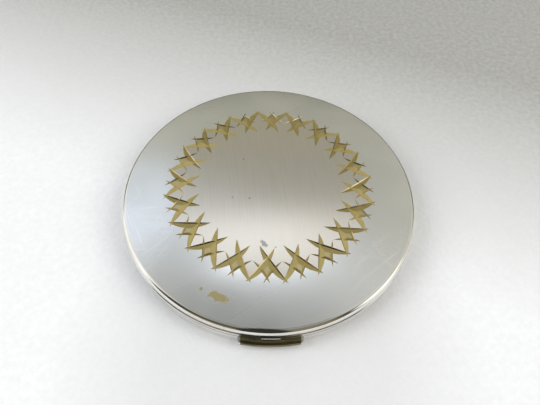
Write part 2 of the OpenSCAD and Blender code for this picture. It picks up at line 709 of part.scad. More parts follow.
// A lens-shaped cut in the dome, from a tip at the place start along the angle heading. Its near
// edge is straight, its wall and its broad facet lie to the left, and both are widest halfway.
module cut(start, heading, length, facet, wall, depth, steps) {
    // How far the cutting solid's sides run on above the dome, as a share of the depth
    rise_share = 0.4;
    // How far its tips run on past the cut's ends, as a share of the first stretch
    tip_share = 0.15;
    end_k = 1 - pow(1 - 2 / steps, 2);
    along = [cos(heading), sin(heading)];
    left = [-sin(heading), cos(heading)];
    function on_dome(s, w, h) = let (p = start + s * along + w * left) [p.x, p.y, dome_z(norm(p)) + h];
    function section(i) = let (u = 2 * i / steps - 1, k = 1 - u * u, s = length * i / steps)
        [on_dome(s, wall * k, -depth * k), on_dome(s, -wall * k * rise_share, depth * k * rise_share),
            on_dome(s, (wall + facet * (1 + rise_share)) * k, depth * k * rise_share)];
    // A tip lies on the line of the cut's bottom, carried on through the dome at the cut's end
    function tip(s) = on_dome(s, -wall * end_k * tip_share, depth * end_k * tip_share);
    last = 3 * (steps - 1);
    points = concat([for (i = [1 : steps - 1]) each section(i)],
        [tip(-length * tip_share / steps), tip(length * (1 + tip_share / steps))]);
    sides = [for (i = [0 : steps - 3]) for (k = [0 : 2]) let (n = (k + 1) % 3)
        each [[3 * i + k, 3 * i + n, 3 * i + 3 + k], [3 * i + n, 3 * i + 3 + n, 3 * i + 3 + k]]];
    tips = [for (k = [0 : 2]) let (n = (k + 1) % 3)
        each [[last, n, k], [last + 1, last - 3 + k, last - 3 + n]]];
    polyhedron(points = points, faces = concat(sides, tips));
}

module long_cut(inward) {
    start = [long_cross_r, 0] - inward * [cos(cut_angle), -sin(cut_angle)];
    cut(start, -cut_angle, inward + long_out, long_facet, long_wall, long_depth, 8);
}

module short_cut() {
    start = [short_cross_r, 0] - short_in * [cos(cut_angle), sin(cut_angle)];
    cut(start, cut_angle, short_in + short_out, short_facet, short_wall, short_depth, 6);
}

module star() {
    mirror([0, 1, 0]) long_cut(long_in_a);
    long_cut(long_in_b);
    short_cut();
    mirror([0, 1, 0]) short_cut();
}

module lift_lip() {
    lip_in = case_r + lip_gap;
    intersection() {
        turned([[roll_centre.x, lid_z], [lip_in, lid_z], [lip_in, lid_z - lip_drop],
            [lip_in + lip_t, lid_z - lip_drop], [lip_in + lip_t, lid_z], [lip_in, lid_z + lip_t],
            [roll_centre.x, lid_z + lip_t]]);
        slab(lip_w / 2, -case_r - 2 * over, 0, 0, lid_top);
    }
}

module lid_shell() {
    color("silver") union() {
        difference() {
            rotate_extrude($fn = case_fn) lid_outline();
            rotate_extrude($fn = case_fn) lid_hollow();
            hinge_notch(lid_z - over, notch_high);
            for (i = [0 : star_count - 1]) rotate([0, 0, 360 * i / star_count - 90 + ring_turn]) star();
        }
        lift_lip();
    }
}

// Mirror
module mirror_glass() {
    color("lightcyan") turned([[0, glass_z], [mirror_r - glass_bevel, glass_z],
        [mirror_r, glass_z + glass_bevel_depth], [mirror_r, card_z], [0, card_z]]);
}

module mirror_card() {
    color("tan") translate([0, 0, card_z]) cylinder(r = mirror_r, h = card_t, $fn = case_fn);
}

module mirror_frame() {
    lip_r = mirror_r - frame_lip;
    cup_r = mirror_r + frame_run;
    skirt_r = side_in_r(frame_z) - frame_fit;
    skirt_top_r = side_in_r(nook_top) - frame_fit;
    color("gold") difference() {
        union() {
            turned([[lip_r, frame_z], [skirt_r, frame_z], [skirt_top_r, nook_top],
                [skirt_top_r - frame_t, nook_top], [skirt_top_r - frame_t, glass_z],
                [cup_r + frame_t, glass_z], [cup_r + frame_t, glass_z + frame_cup_h],
                [cup_r, glass_z + frame_cup_h], [cup_r, glass_z], [lip_r, glass_z]]);
            rotate_extrude($fn = case_fn) translate([skirt_r - frame_bead_inset, frame_z])
                circle(r = frame_bead_r, $fn = 32);
        }
        // Notch for the hook and the catch plate
        slab(plate_half() + frame_fit, -case_r, -hook_notch_in, frame_z - over, nook_top + over);
        // Notch for the lid's hinge leaf
        slab(lid_knuckle_out + frame_fit, ring_in_r - leaf_t - frame_fit, case_r,
            frame_z - over, nook_top + over);
    }
}

// Half the width of the catch plate, a little wider than the hook
function plate_half() = hook_w / 2 + plate_hem_t;

module catch_plate() {
    wall_r = side_in_r(plate_z) - solder;
    top_r = side_in_r(nook_top) - solder;
    hem_top = plate_z + plate_hem_h;
    hem_top_r = side_in_r(hem_top) - solder;
    color("goldenrod") intersection() {
        turned([[plate_hem_r, plate_z], [wall_r, plate_z], [top_r, nook_top], [top_r - plate_t, nook_top],
            [hem_top_r - plate_t, hem_top], [plate_hem_r, hem_top]]);
        slab(plate_half(), -case_r, 0, 0, lid_top);
    }
}

// Catch
module thumb_bar() {
    nose_centre = case_r + bar_proud - bar_nose_r;
    color("darkkhaki") intersection() {
        rotate_extrude($fn = case_fn) difference() {
            union() {
                translate([nose_centre, bar_nose_z]) circle(r = bar_nose_r);
                translate([bar_back - over, bar_z]) square([nose_centre - bar_back + over, bar_h]);
            }
            for (i = [0 : bar_grooves - 1]) let (a = (i - (bar_grooves - 1) / 2) * bar_groove_step)
                translate([nose_centre + bar_nose_r * cos(a), bar_nose_z + bar_nose_r * sin(a)])
                    circle(r = bar_groove_r, $fn = 24);
        }
        slab(bar_w / 2, -case_r - 2 * over, -bar_back, 0, base_h);
    }
}

module catch_slide() {
    color("goldenrod") difference() {
        slab(slide_w / 2, -bar_back, -slide_back, slide_z, slide_top);
        hook_rivet_place() translate([0, 0, slide_z - over])
            cylinder(r = hook_rivet_r + solder, h = slide_t + 2 * over, $fn = 32);
    }
}

module hook_rivet_place() {
    translate([0, -(hook_in + slide_back) / 2, 0]) children();
}

module catch_hook() {
    nose_top = nose_z + nose_h;
    color("goldenrod") difference() {
        translate([-hook_w / 2, 0, 0]) rotate([90, 0, 90]) linear_extrude(height = hook_w)
            polygon([[-hook_out, slide_top], [-slide_back, slide_top], [-slide_back, slide_top + guide_t],
                [-hook_in, slide_top + guide_t], [-hook_in, nose_top], [-hook_out, nose_top],
                [-nose_r, nose_z + nose_h / 2], [-nose_r, nose_z], [-hook_out, nose_z]]);
        hook_rivet_place() translate([0, 0, slide_top - over])
            cylinder(r = hook_rivet_r + solder, h = guide_t + 2 * over, $fn = 32);
    }
}

module hook_rivet() {
    color("gainsboro") hook_rivet_place() {
        translate([0, 0, slide_z]) cylinder(r = hook_rivet_r, h = slide_t + guide_t, $fn = 32);
        translate([0, 0, slide_top + guide_t])
            cylinder(r = hook_rivet_r + hook_head_rim, h = rivet_head_h, $fn = 32);
    }
}

module catch_guide() {
    cheek_in = slide_w / 2 + slide_run;
    cheek_out = cheek_in + guide_t;
    rail_top = slide_z - slide_run;
    lip_z = slide_top + slide_run;
    color("darkgoldenrod") union() {
        slab(cheek_out, -guide_front, -guide_back, base_floor, base_floor + guide_t);
        for (side = [0, 1]) mirror([side, 0, 0]) {
            block([cheek_in, -guide_front, base_floor], [cheek_out, -guide_back, lip_z + guide_t]);
            block([cheek_in - guide_lip, -guide_front, base_floor], [cheek_out, -guide_back, rail_top]);
            block([cheek_in - guide_lip, -guide_front, lip_z], [cheek_out, -guide_back, lip_z + guide_t]);
        }
        slab(cheek_out, -guide_back - guide_t, -guide_back, base_floor, lip_z + guide_t);
    }
}

module catch_spring() {
    half = slide_w / 2 - guide_lip;
    ends_y = -guide_back - guide_t - solder;
    bow = slide_back + ends_y - solder;
    bow_r = (half * half + bow * bow) / (2 * bow);
    spring_z = (slide_z + slide_top) / 2 - leaf_spring_w / 2;
    color("silver") intersection() {
        translate([0, -slide_back + solder + bow_r, spring_z]) difference() {
            cylinder(r = bow_r, h = leaf_spring_w);
            translate([0, 0, -over]) cylinder(r = bow_r - leaf_spring_t, h = leaf_spring_w + 2 * over);
        }
        slab(half, -slide_back, ends_y, 0, base_h);
    }
}

base_shell();
base_hinge_leaf();
hinge_pin();
inner_ring();
powder_pan();
sifter_rim();
sifter_gauze();
puff_pad();
puff_ribbon();
powder_lid_bracket();
bracket_rivets();
powder_lid_pin();
powder_lid_spring();
catch_guide();
catch_spring();
lid_shell();
lid_hinge_leaf();
mirror_glass();
mirror_card();
mirror_frame();
catch_plate();
thumb_bar();
catch_slide();
catch_hook();
hook_rivet();
powder_lid();
powder_lid_knuckles();
powder_lid_tab();
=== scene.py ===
"""Looks for a round metal compact: satin dome with bright-cut stars, polished rim, gilt inside.

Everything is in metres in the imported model's frame: +Z up through the lid, -Y to the thumb catch.
"""
import logging
import math
from dataclasses import dataclass
from enum import Enum, IntEnum
from typing import Union

import bmesh
import bpy
import numpy as np
from mathutils import Matrix, Vector


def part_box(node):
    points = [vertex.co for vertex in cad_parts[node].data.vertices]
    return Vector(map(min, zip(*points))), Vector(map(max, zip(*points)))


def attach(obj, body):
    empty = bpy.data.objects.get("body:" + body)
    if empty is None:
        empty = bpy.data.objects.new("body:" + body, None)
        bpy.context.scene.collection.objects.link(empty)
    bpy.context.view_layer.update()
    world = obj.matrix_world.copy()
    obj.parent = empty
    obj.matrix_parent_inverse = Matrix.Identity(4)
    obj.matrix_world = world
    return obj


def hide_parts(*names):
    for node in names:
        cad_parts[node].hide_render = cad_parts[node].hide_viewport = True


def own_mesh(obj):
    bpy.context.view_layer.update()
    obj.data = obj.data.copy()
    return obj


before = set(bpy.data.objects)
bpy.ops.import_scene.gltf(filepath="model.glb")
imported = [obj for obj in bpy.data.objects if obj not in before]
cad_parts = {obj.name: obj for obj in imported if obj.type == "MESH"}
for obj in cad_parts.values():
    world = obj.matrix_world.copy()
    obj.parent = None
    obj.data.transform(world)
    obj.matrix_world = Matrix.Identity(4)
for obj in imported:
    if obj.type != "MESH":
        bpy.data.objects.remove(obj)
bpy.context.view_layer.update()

LOG = logging.getLogger("compact")
Pair = tuple[float, float]
Triple = tuple[float, float, float]
Colour = Triple
Socket = bpy.types.NodeSocket
Number = Union[float, Socket]
Paint = Union[Colour, Socket]

MM = 0.001
TURN = 2 * math.pi
WELD = 0.0001 * MM
TINY = 1e-20
# Fractal noise of Blender keeps mostly to this range
NOISE_RANGE = (0.3, 0.7)
# Name of the lid's UV map, along which its silver is brushed
BRUSHING = "brushing"


class Slot(Enum):
    """Material slots of the record that finishes belong to."""

    SILVER = "silver_plate"
    GILT = "gilt"
    WORN = "worn_brass"
    STEEL = "steel"
    GLASS = "mirror_glass"
    CARD = "card"
    GAUZE = "gauze"
    VELOUR = "velour"
    RIBBON = "ribbon"


class Surface(IntEnum):
    """What a triangle of the lid belongs to, which is also the number of its finish."""

    SIDE = 0
    DISC = 1
    RIM = 2
    STAR = 3
    FACET = 4
    WALL = 5


@dataclass(frozen=True)
class Mark:
    """An oval mark on the XY plane with a ragged rim.

    Attributes:
        centre: place in metres.
        size: half length and half width in metres.
        turn: angle of the length about Z in degrees.
        ragged: how far noise moves the rim, as a share of the half size.
        grain: noise waves per metre.
    """

    centre: Pair
    size: Pair
    turn: float
    ragged: float
    grain: float


class Graph:
    """The node tree of a material or a world, with short calls that add nodes and join them."""

    def __init__(self, owner: bpy.types.ID, shader: str, place: str) -> None:
        """Takes over a new material's or world's tree.

        Args:
            owner: the material or world.
            shader: name of its shader node.
            place: the texture coordinate that the patterns are laid out in.
        """
        owner.use_nodes = True
        self.owner = owner
        self.tree = owner.node_tree
        self.shader = self.tree.nodes[shader]
        self.place = self.tree.nodes.new("ShaderNodeTexCoord").outputs[place]

    @classmethod
    def surface(cls, name: str) -> "Graph":
        """Starts a material that is laid out in object coordinates."""
        return cls(bpy.data.materials.new(name), "Principled BSDF", "Object")

    def node(self, kind: str, **inputs: object) -> bpy.types.Node:
        """Adds a node.

        Args:
            kind: Blender's name of the node's type.
            **inputs: values or sockets for the node's inputs, by input name.

        Returns:
            The new node.
        """
        made = self.tree.nodes.new(kind)
        for name, value in inputs.items():
            self.join(made.inputs[name.replace("_", " ")], value)
        return made

    def join(self, socket: Socket, value: object) -> None:
        """Gives an input socket a value, or links another socket to it."""
        if isinstance(value, Socket):
            self.tree.links.new(value, socket)
        else:
            socket.default_value = value

    def axes(self, vector: Socket) -> list[Socket]:
        """The X, Y and Z parts of a vector."""
        parts = self.node("ShaderNodeSeparateXYZ", Vector=vector)
        return [parts.outputs[k] for k in "XYZ"]

    def stretched(self, scale: Union[float, Triple], turn: float = 0.0,
                  shift: Triple = (0.0, 0.0, 0.0)) -> Socket:
        """The graph's coordinates for a pattern that is turned about Z, then scaled and shifted.

        Args:
            scale: waves per metre, one number or one for each axis of the pattern.
            turn: angle of the pattern about Z in degrees.
            shift: offset after scaling.

        Returns:
            The vector socket.
        """
        if isinstance(scale, float):
            scale = (scale, scale, scale)
        spun = self.node("ShaderNodeVectorRotate", Vector=self.place, Angle=math.radians(-turn))
        return self.node("ShaderNodeMapping", Vector=spun.outputs["Vector"], Scale=scale,
                         Location=shift).outputs["Vector"]

    def noise(self, vector: Socket, detail: float = 3.0, rough: float = 0.5,
              bend: float = 0.0) -> Socket:
        """Fractal noise with one wave per unit of the vector, from 0 to 1."""
        return self.node("ShaderNodeTexNoise", Vector=vector, Scale=1.0, Detail=detail,
                         Roughness=rough, Distortion=bend).outputs["Fac"]

    def level(self, value: Socket, low: float, high: float, to_low: float,
              to_high: float) -> Socket:
        """Maps a value's range to another range and clamps it."""
        return self.node("ShaderNodeMapRange", Value=value, From_Min=low, From_Max=high,
                         To_Min=to_low, To_Max=to_high).outputs["Result"]

    def rise(self, value: Socket, low: float, high: float, top: float = 1.0) -> Socket:
        """Rises from 0 to the top as a value goes from low to high."""
        return self.level(value, low, high, 0.0, top)

    def fall(self, value: Socket, low: float, high: float, top: float = 1.0) -> Socket:
        """Falls from the top to 0 as a value goes from low to high."""
        return self.level(value, low, high, top, 0.0)

    def spread(self, noise: Socket, around: float, less: float, more: float) -> Socket:
        """Spreads noise over the range from less under a value to more over it."""
        return self.level(noise, *NOISE_RANGE, around - less, around + more)

    def calc(self, operation: str, a: Number, b: Number = 0.0) -> Socket:
        """Combines two values by a mathematical operation."""
        made = self.tree.nodes.new("ShaderNodeMath")
        made.operation = operation
        self.join(made.inputs[0], a)
        self.join(made.inputs[1], b)
        return made.outputs[0]

    def times(self, product: Number, *factors: Number) -> Socket:
        """Multiplies values, from left to right."""
        for factor in factors:
            product = self.calc("MULTIPLY", product, factor)
        return product

    def length(self, a: Socket, b: Socket) -> Socket:
        """Length of the flat vector (a, b)."""
        return self.calc("SQRT", self.calc("ADD", self.times(a, a), self.times(b, b)))

    def wave(self, value: Socket, per_metre: float) -> Socket:
        """A sine wave along a coordinate, from 0 to 1."""
        return self.rise(self.calc("SINE", self.times(value, TURN * per_metre)), -1.0, 1.0)

    def mix(self, share: Socket, a: Paint, b: Paint) -> Socket:
        """Mixes two colours by a share from 0 to 1."""
        made = self.tree.nodes.new("ShaderNodeMix")
        made.data_type = "RGBA"
        self.join(made.inputs[0], share)
        for socket, value in ((made.inputs[6], a), (made.inputs[7], b)):
            self.join(socket, (*value, 1.0) if isinstance(value, tuple) else value)
        return made.outputs[2]

    def bump(self, height: Socket, depth: float, strength: float,
             under: Union[Socket, None] = None) -> Socket:
        """Tilts the surface by a height from 0 to 1 over a depth in metres."""
        made = self.node("ShaderNodeBump", Height=height, Distance=depth, Strength=strength)
        if under is not None:
            self.join(made.inputs["Normal"], under)
        return made.outputs["Normal"]

    def spot(self, mark: Mark) -> Socket:
        """A mask that is 1 on a mark.

        It is 1 where the distance from the centre, measured in half sizes and disturbed by
        noise, is under 1, with a soft step there.
        """
        c, s = math.cos(math.radians(mark.turn)), math.sin(math.radians(mark.turn))
        x, y, _ = self.axes(self.place)
        dx, dy = (self.calc("SUBTRACT", a, b) for a, b in zip((x, y), mark.centre))
        long, wide = mark.size
        along = self.calc("ADD", self.times(dx, c / long), self.times(dy, s / long))
        across = self.calc("ADD", self.times(dx, -s / wide), self.times(dy, c / wide))
        noise = self.level(self.noise(self.stretched(mark.grain), 6.0, 0.7), 0.25, 0.75,
                           -mark.ragged, mark.ragged)
        return self.fall(self.calc("ADD", self.length(along, across), noise), 0.85, 1.1)

    def scratches(self, turn: float, seed: float) -> Socket:
        """Fine straight scratches that lie side by side in loose patches.

        Noise drawn out along one direction makes the lines; coarse noise lets only
        patches of them show.

        Args:
            turn: angle of the scratches from Y about Z in degrees.
            seed: shift that makes each set different.

        Returns:
            The scratches as a socket from 0 to 1.
        """
        lines = self.noise(self.stretched((1500.0, 55.0, 55.0), turn, (seed, seed, 0.0)), 2.0)
        patches = self.noise(self.stretched(60.0, 0.0, (seed, 0.0, 0.0)), 2.0)
        return self.times(self.rise(lines, 0.55, 0.68), self.rise(patches, 0.45, 0.65))

    def finish(self, colour: Paint, rough: Number, metal: float,
               normal: Union[Socket, None] = None) -> bpy.types.Material:
        """Sets the shader's main inputs and returns the material."""
        if isinstance(colour, tuple):
            colour = (*colour, 1.0)
        self.join(self.shader.inputs["Base Color"], colour)
        self.join(self.shader.inputs["Roughness"], rough)
        self.shader.inputs["Metallic"].default_value = metal
        if normal is not None:
            self.join(self.shader.inputs["Normal"], normal)
        return self.owner


@dataclass(frozen=True)
class SatinSilver:
    """Silver brushed from front to back, with a grey smudge and specks."""

    colour: Colour = (0.755, 0.715, 0.635)
    streak: Colour = (0.67, 0.63, 0.55)
    cloud: Colour = (0.8, 0.7, 0.62)
    grey: Colour = (0.2, 0.2, 0.21)
    brown: Colour = (0.2, 0.17, 0.14)
    roughness: float = 0.36
    anisotropy: float = 0.85
    turn: float = 6.5
    fine_streaks: Triple = (9000.0, 110.0, 400.0)
    broad_streaks: Triple = (1500.0, 45.0, 100.0)
    smudge: Mark = Mark((-1.65 * MM, -18.86 * MM), (1.1 * MM, 0.65 * MM), -50.0, 0.7, 1900.0)
    specks: tuple[Pair, ...] = ((1.28 * MM, -19.81 * MM), (-10.14 * MM, -4.85 * MM),
                                (-5.53 * MM, -5.24 * MM), (-7.44 * MM, 8.36 * MM))
    speck_size: Pair = (0.3 * MM, 0.22 * MM)

    def material(self) -> bpy.types.Material:
        """Fine streaks along Y change colour, roughness and tilt; marks darken it."""
        g = Graph.surface("satin_silver")
        fine = g.noise(g.stretched(self.fine_streaks, self.turn), 4.0, 0.6)
        broad = g.noise(g.stretched(self.broad_streaks, self.turn), 3.0, 0.55)
        both = g.calc("ADD", g.times(fine, 0.8), g.times(broad, 0.2))
        colour = g.mix(g.rise(both, 0.35, 0.65), self.streak, self.colour)
        colour = g.mix(g.rise(g.noise(g.stretched(45.0)), 0.35, 0.7, 0.22), colour, self.cloud)
        colour = g.mix(g.times(g.spot(self.smudge), 0.7), colour, self.grey)
        for place in self.specks:
            speck = g.spot(Mark(place, self.speck_size, 20.0, 0.5, 2600.0))
            colour = g.mix(g.times(speck, 0.6), colour, self.brown)
        made = g.finish(colour, g.spread(both, self.roughness, 0.05, 0.06), 1.0,
                        g.bump(both, 0.004 * MM, 0.5))
        g.shader.inputs["Anisotropic"].default_value = self.anisotropy
        tangent = g.tree.nodes.new("ShaderNodeTangent")
        tangent.direction_type = "UV_MAP"
        tangent.uv_map = BRUSHING
        g.join(g.shader.inputs["Tangent"], tangent.outputs["Tangent"])
        return made


@dataclass(frozen=True)
class RimSilver:
    """Smooth silver plate with fine crossing scratches, whitened as painted glints where the glare
    falls, and a patch worn to the brass.
    """

    colour: Colour = (0.8, 0.8, 0.78)
    haze: Colour = (0.755, 0.76, 0.735)
    scratch_glint: Colour = (0.97, 0.97, 0.97)
    brass: Colour = (0.54, 0.45, 0.21)
    roughness: float = 0.27
    scratch_turns: tuple[float, ...] = (-52.0, -38.0, 24.0, 61.0, 88.0)
    scratched_in_glare: tuple[Mark, Mark] = (
        Mark((-33.0 * MM, -9.0 * MM), (8.0 * MM, 15.0 * MM), 0.0, 0.5, 90.0),
        Mark((29.0 * MM, -22.0 * MM), (12.0 * MM, 5.0 * MM), 52.0, 0.5, 90.0))
    worn: tuple[Mark, Mark] = (
        Mark((-12.66 * MM, -32.34 * MM), (2.75 * MM, 1.15 * MM), -19.5, 0.55, 900.0),
        Mark((-17.02 * MM, -30.28 * MM), (0.4 * MM, 0.5 * MM), 0.0, 0.4, 1500.0))

    def material(self) -> bpy.types.Material:
        """Scratches lie in five directions in two ovals where the glare falls and are whitened
        there as painted glints; the worn marks mix in brass and add roughness.
        """
        g = Graph.surface("rim_silver_worn")
        lines = 0.0
        for k, turn in enumerate(self.scratch_turns):
            lines = g.calc("MAXIMUM", lines, g.scratches(turn, 7.3 * k + 1.0))
        # Real scratches with painted glints: they show only in two ovals where the glare falls and
        # are mixed towards white there.
        lines = g.times(lines, g.calc("MAXIMUM", *(g.spot(mark) for mark in self.scratched_in_glare)))
        haze = g.noise(g.stretched(70.0), 1.0)
        colour = g.mix(g.rise(haze, 0.35, 0.7), self.colour, self.haze)
        colour = g.mix(g.times(lines, 0.45), colour, self.scratch_glint)
        worn = g.calc("MAXIMUM", *(g.spot(mark) for mark in self.worn))
        colour = g.mix(g.times(worn, 0.9), colour, self.brass)
        rough = g.spread(haze, self.roughness, 0.04, 0.05)
        return g.finish(colour, g.calc("ADD", rough, g.times(worn, 0.2)), 1.0)


@dataclass(frozen=True)
class TurnedSilver:
    """Polished silver of the sides, with fine lines turned round the axis and a band of painted
    shade just over the seam.
    """

    colour: Colour = (0.88, 0.87, 0.84)
    haze: Colour = (0.72, 0.69, 0.6)
    seam_shade: Colour = (0.4, 0.38, 0.38)
    roughness: float = 0.07
    seam_z: float = 5.4 * MM
    seam_soft: float = 0.05 * MM
    seam_band: Pair = (0.6 * MM, 1.2 * MM)

    def material(self) -> bpy.types.Material:
        """Noise drawn out round the case: fast along Z, slow along X and Y.

        A band just over the seam is darkened as painted shade.
        """
        g = Graph.surface("turned_silver")
        lines = g.noise(g.stretched((60.0, 60.0, 6500.0)), 3.0, 0.6)
        haze = g.noise(g.stretched((120.0, 120.0, 300.0)), 4.0, 0.6)
        colour = g.mix(g.rise(haze, 0.4, 0.75, 0.6), self.colour, self.haze)
        # Painted shade: a darker band just over the seam between lid and base.
        over = g.calc("SUBTRACT", g.axes(g.place)[2], self.seam_z)
        seam_shade = g.times(g.rise(over, -self.seam_soft, self.seam_soft, 0.6),
                       g.fall(over, *self.seam_band))
        colour = g.mix(seam_shade, colour, self.seam_shade)
        return g.finish(colour, g.spread(haze, self.roughness, 0.03, 0.07), 1.0,
                        g.bump(lines, 0.002 * MM, 0.2))


@dataclass(frozen=True)
class Gilding:
    """A gold finish with fine cutter lines."""

    name: str
    light: Colour
    dark: Colour
    roughness: float
    lines: Union[float, Triple]

    def material(self) -> bpy.types.Material:
        """Two golds mixed by cloudy noise, over a fine grain of the tool's path."""
        g = Graph.surface(self.name)
        cloud = g.noise(g.stretched(260.0), 4.0, 0.6)
        grain = g.noise(g.stretched(self.lines), 3.0, 0.6)
        colour = g.mix(g.rise(cloud, 0.32, 0.68), self.dark, self.light)
        return g.finish(colour, g.spread(grain, self.roughness, 0.05, 0.07), 1.0,
                        g.bump(grain, 0.002 * MM, 0.15))


@dataclass(frozen=True)
class DarkRibbedBrass:
    """Brass of the thumb bar: olive brown with fine ribs along it, painted shade and light on the
    ribs, and painted highlights on its ends.
    """

    light: Colour = (0.5, 0.41, 0.2)
    dark: Colour = (0.09, 0.08, 0.05)
    end: Colour = (0.95, 0.95, 0.93)
    ribs_per_metre: float = 1000.0
    end_glint_from: Pair = (7.3 * MM, 7.6 * MM)

    def material(self) -> bpy.types.Material:
        """A wave across the height makes the ribs, painted darker in their grooves and lighter on
        their crests; noise drawn out along X breaks them up. The ends are painted near white as
        highlights.
        """
        g = Graph.surface("dark_ribbed_brass")
        x, _, z = g.axes(g.place)
        rib = g.wave(z, self.ribs_per_metre)
        smear = g.noise(g.stretched((130.0, 500.0, 2600.0)), 4.0, 0.65)
        # Painted shade and light: the ribs' grooves are darker and their crests lighter.
        share = g.times(g.rise(smear, 0.3, 0.72), g.level(rib, 0.0, 1.0, 0.1, 1.0))
        colour = g.mix(share, self.dark, self.light)
        # Painted highlight: the bar's ends are mixed to near white.
        colour = g.mix(g.rise(g.calc("ABSOLUTE", x), *self.end_glint_from), colour, self.end)
        return g.finish(colour, g.level(smear, *NOISE_RANGE, 0.42, 0.28), 1.0,
                        g.bump(rib, 0.05 * MM, 0.8))


@dataclass(frozen=True)
class DrawnSteel:
    """Wire, pins and rivets of steel."""

    colour: Colour = (0.6, 0.6, 0.61)
    stain: Colour = (0.4, 0.39, 0.38)

    def material(self) -> bpy.types.Material:
        """Draw marks along X and light staining."""
        g = Graph.surface("drawn_steel")
        marks = g.noise(g.stretched((300.0, 4500.0, 4500.0)), 3.0, 0.6)
        colour = g.mix(g.rise(marks, 0.4, 0.7, 0.5), self.colour, self.stain)
        return g.finish(colour, g.level(marks, *NOISE_RANGE, 0.2, 0.34), 1.0,
                        g.bump(marks, 0.003 * MM, 0.4))


@dataclass(frozen=True)
class SilveredGlass:
    """Mirror with faint dust and finger haze."""

    colour: Colour = (0.9, 0.925, 0.92)
    coat: float = 0.3

    def material(self) -> bpy.types.Material:
        """A near perfect reflection whose roughness rises a little in hazy places."""
        g = Graph.surface("silvered_glass")
        haze = g.noise(g.stretched(90.0), 5.0, 0.6)
        g.shader.inputs["Coat Weight"].default_value = self.coat
        return g.finish(self.colour, g.level(haze, 0.45, 0.75, 0.01, 0.07), 1.0)


@dataclass(frozen=True)
class Board:
    """Backing card."""

    light: Colour = (0.5, 0.41, 0.29)
    dark: Colour = (0.36, 0.29, 0.2)

    def material(self) -> bpy.types.Material:
        """Fibres as short noise drawn out in one direction."""
        g = Graph.surface("backing_card")
        fibre = g.noise(g.stretched((2500.0, 700.0, 2500.0), 30.0), 5.0, 0.7)
        colour = g.mix(g.rise(fibre, *NOISE_RANGE), self.dark, self.light)
        return g.finish(colour, 0.9, 0.0, g.bump(fibre, 0.03 * MM, 0.6))


@dataclass(frozen=True)
class Weave:
    """A plain weave of fine threads."""

    name: str
    thread: Colour
    hollow_shade: Colour
    pitch: float
    depth: float
    roughness: float
    sheen: float = 0.25

    def material(self) -> bpy.types.Material:
        """Two sine waves at right angles; their larger one stands up as the top thread, and the
        hollows between threads are darker as painted shade.
        """
        g = Graph.surface(self.name)
        x, y, _ = g.axes(g.place)
        top = g.calc("MAXIMUM", g.wave(x, 1 / self.pitch), g.wave(y, 1 / self.pitch))
        slub = g.noise(g.stretched(900.0), 4.0, 0.6)
        share = g.times(top, g.level(slub, 0.25, 0.75, 0.75, 1.0))
        g.shader.inputs["Sheen Weight"].default_value = self.sheen
        # Painted shade: the low places between the threads are darker.
        return g.finish(g.mix(share, self.hollow_shade, self.thread), self.roughness, 0.0,
                        g.bump(top, self.depth, 0.7))


@dataclass(frozen=True)
class Velour:
    """Short pile of the puff, with traces of powder."""

    pile: Colour = (0.84, 0.62, 0.56)
    deep: Colour = (0.68, 0.44, 0.4)
    powder: Colour = (0.9, 0.78, 0.68)
    sheen: float = 0.6
    sheen_rough: float = 0.4

    def material(self) -> bpy.types.Material:
        """Fine noise is the pile's tufts, coarse noise its brushed lie and the powder."""
        g = Graph.surface("velour")
        tuft = g.noise(g.stretched(3800.0), 4.0, 0.7)
        lie = g.noise(g.stretched((160.0, 90.0, 160.0), 25.0), 4.0, 0.55, 0.6)
        dust = g.noise(g.stretched(60.0, 0.0, (3.0, 1.0, 0.0)), 5.0, 0.65)
        colour = g.mix(g.rise(tuft, *NOISE_RANGE), self.deep, self.pile)
        colour = g.mix(g.rise(lie, 0.35, 0.7, 0.35), colour, self.deep)
        colour = g.mix(g.rise(dust, 0.5, 0.75, 0.5), colour, self.powder)
        g.shader.inputs["Sheen Weight"].default_value = self.sheen
        g.shader.inputs["Sheen Roughness"].default_value = self.sheen_rough
        return g.finish(colour, 0.95, 0.0, g.bump(tuft, 0.12 * MM, 0.8))


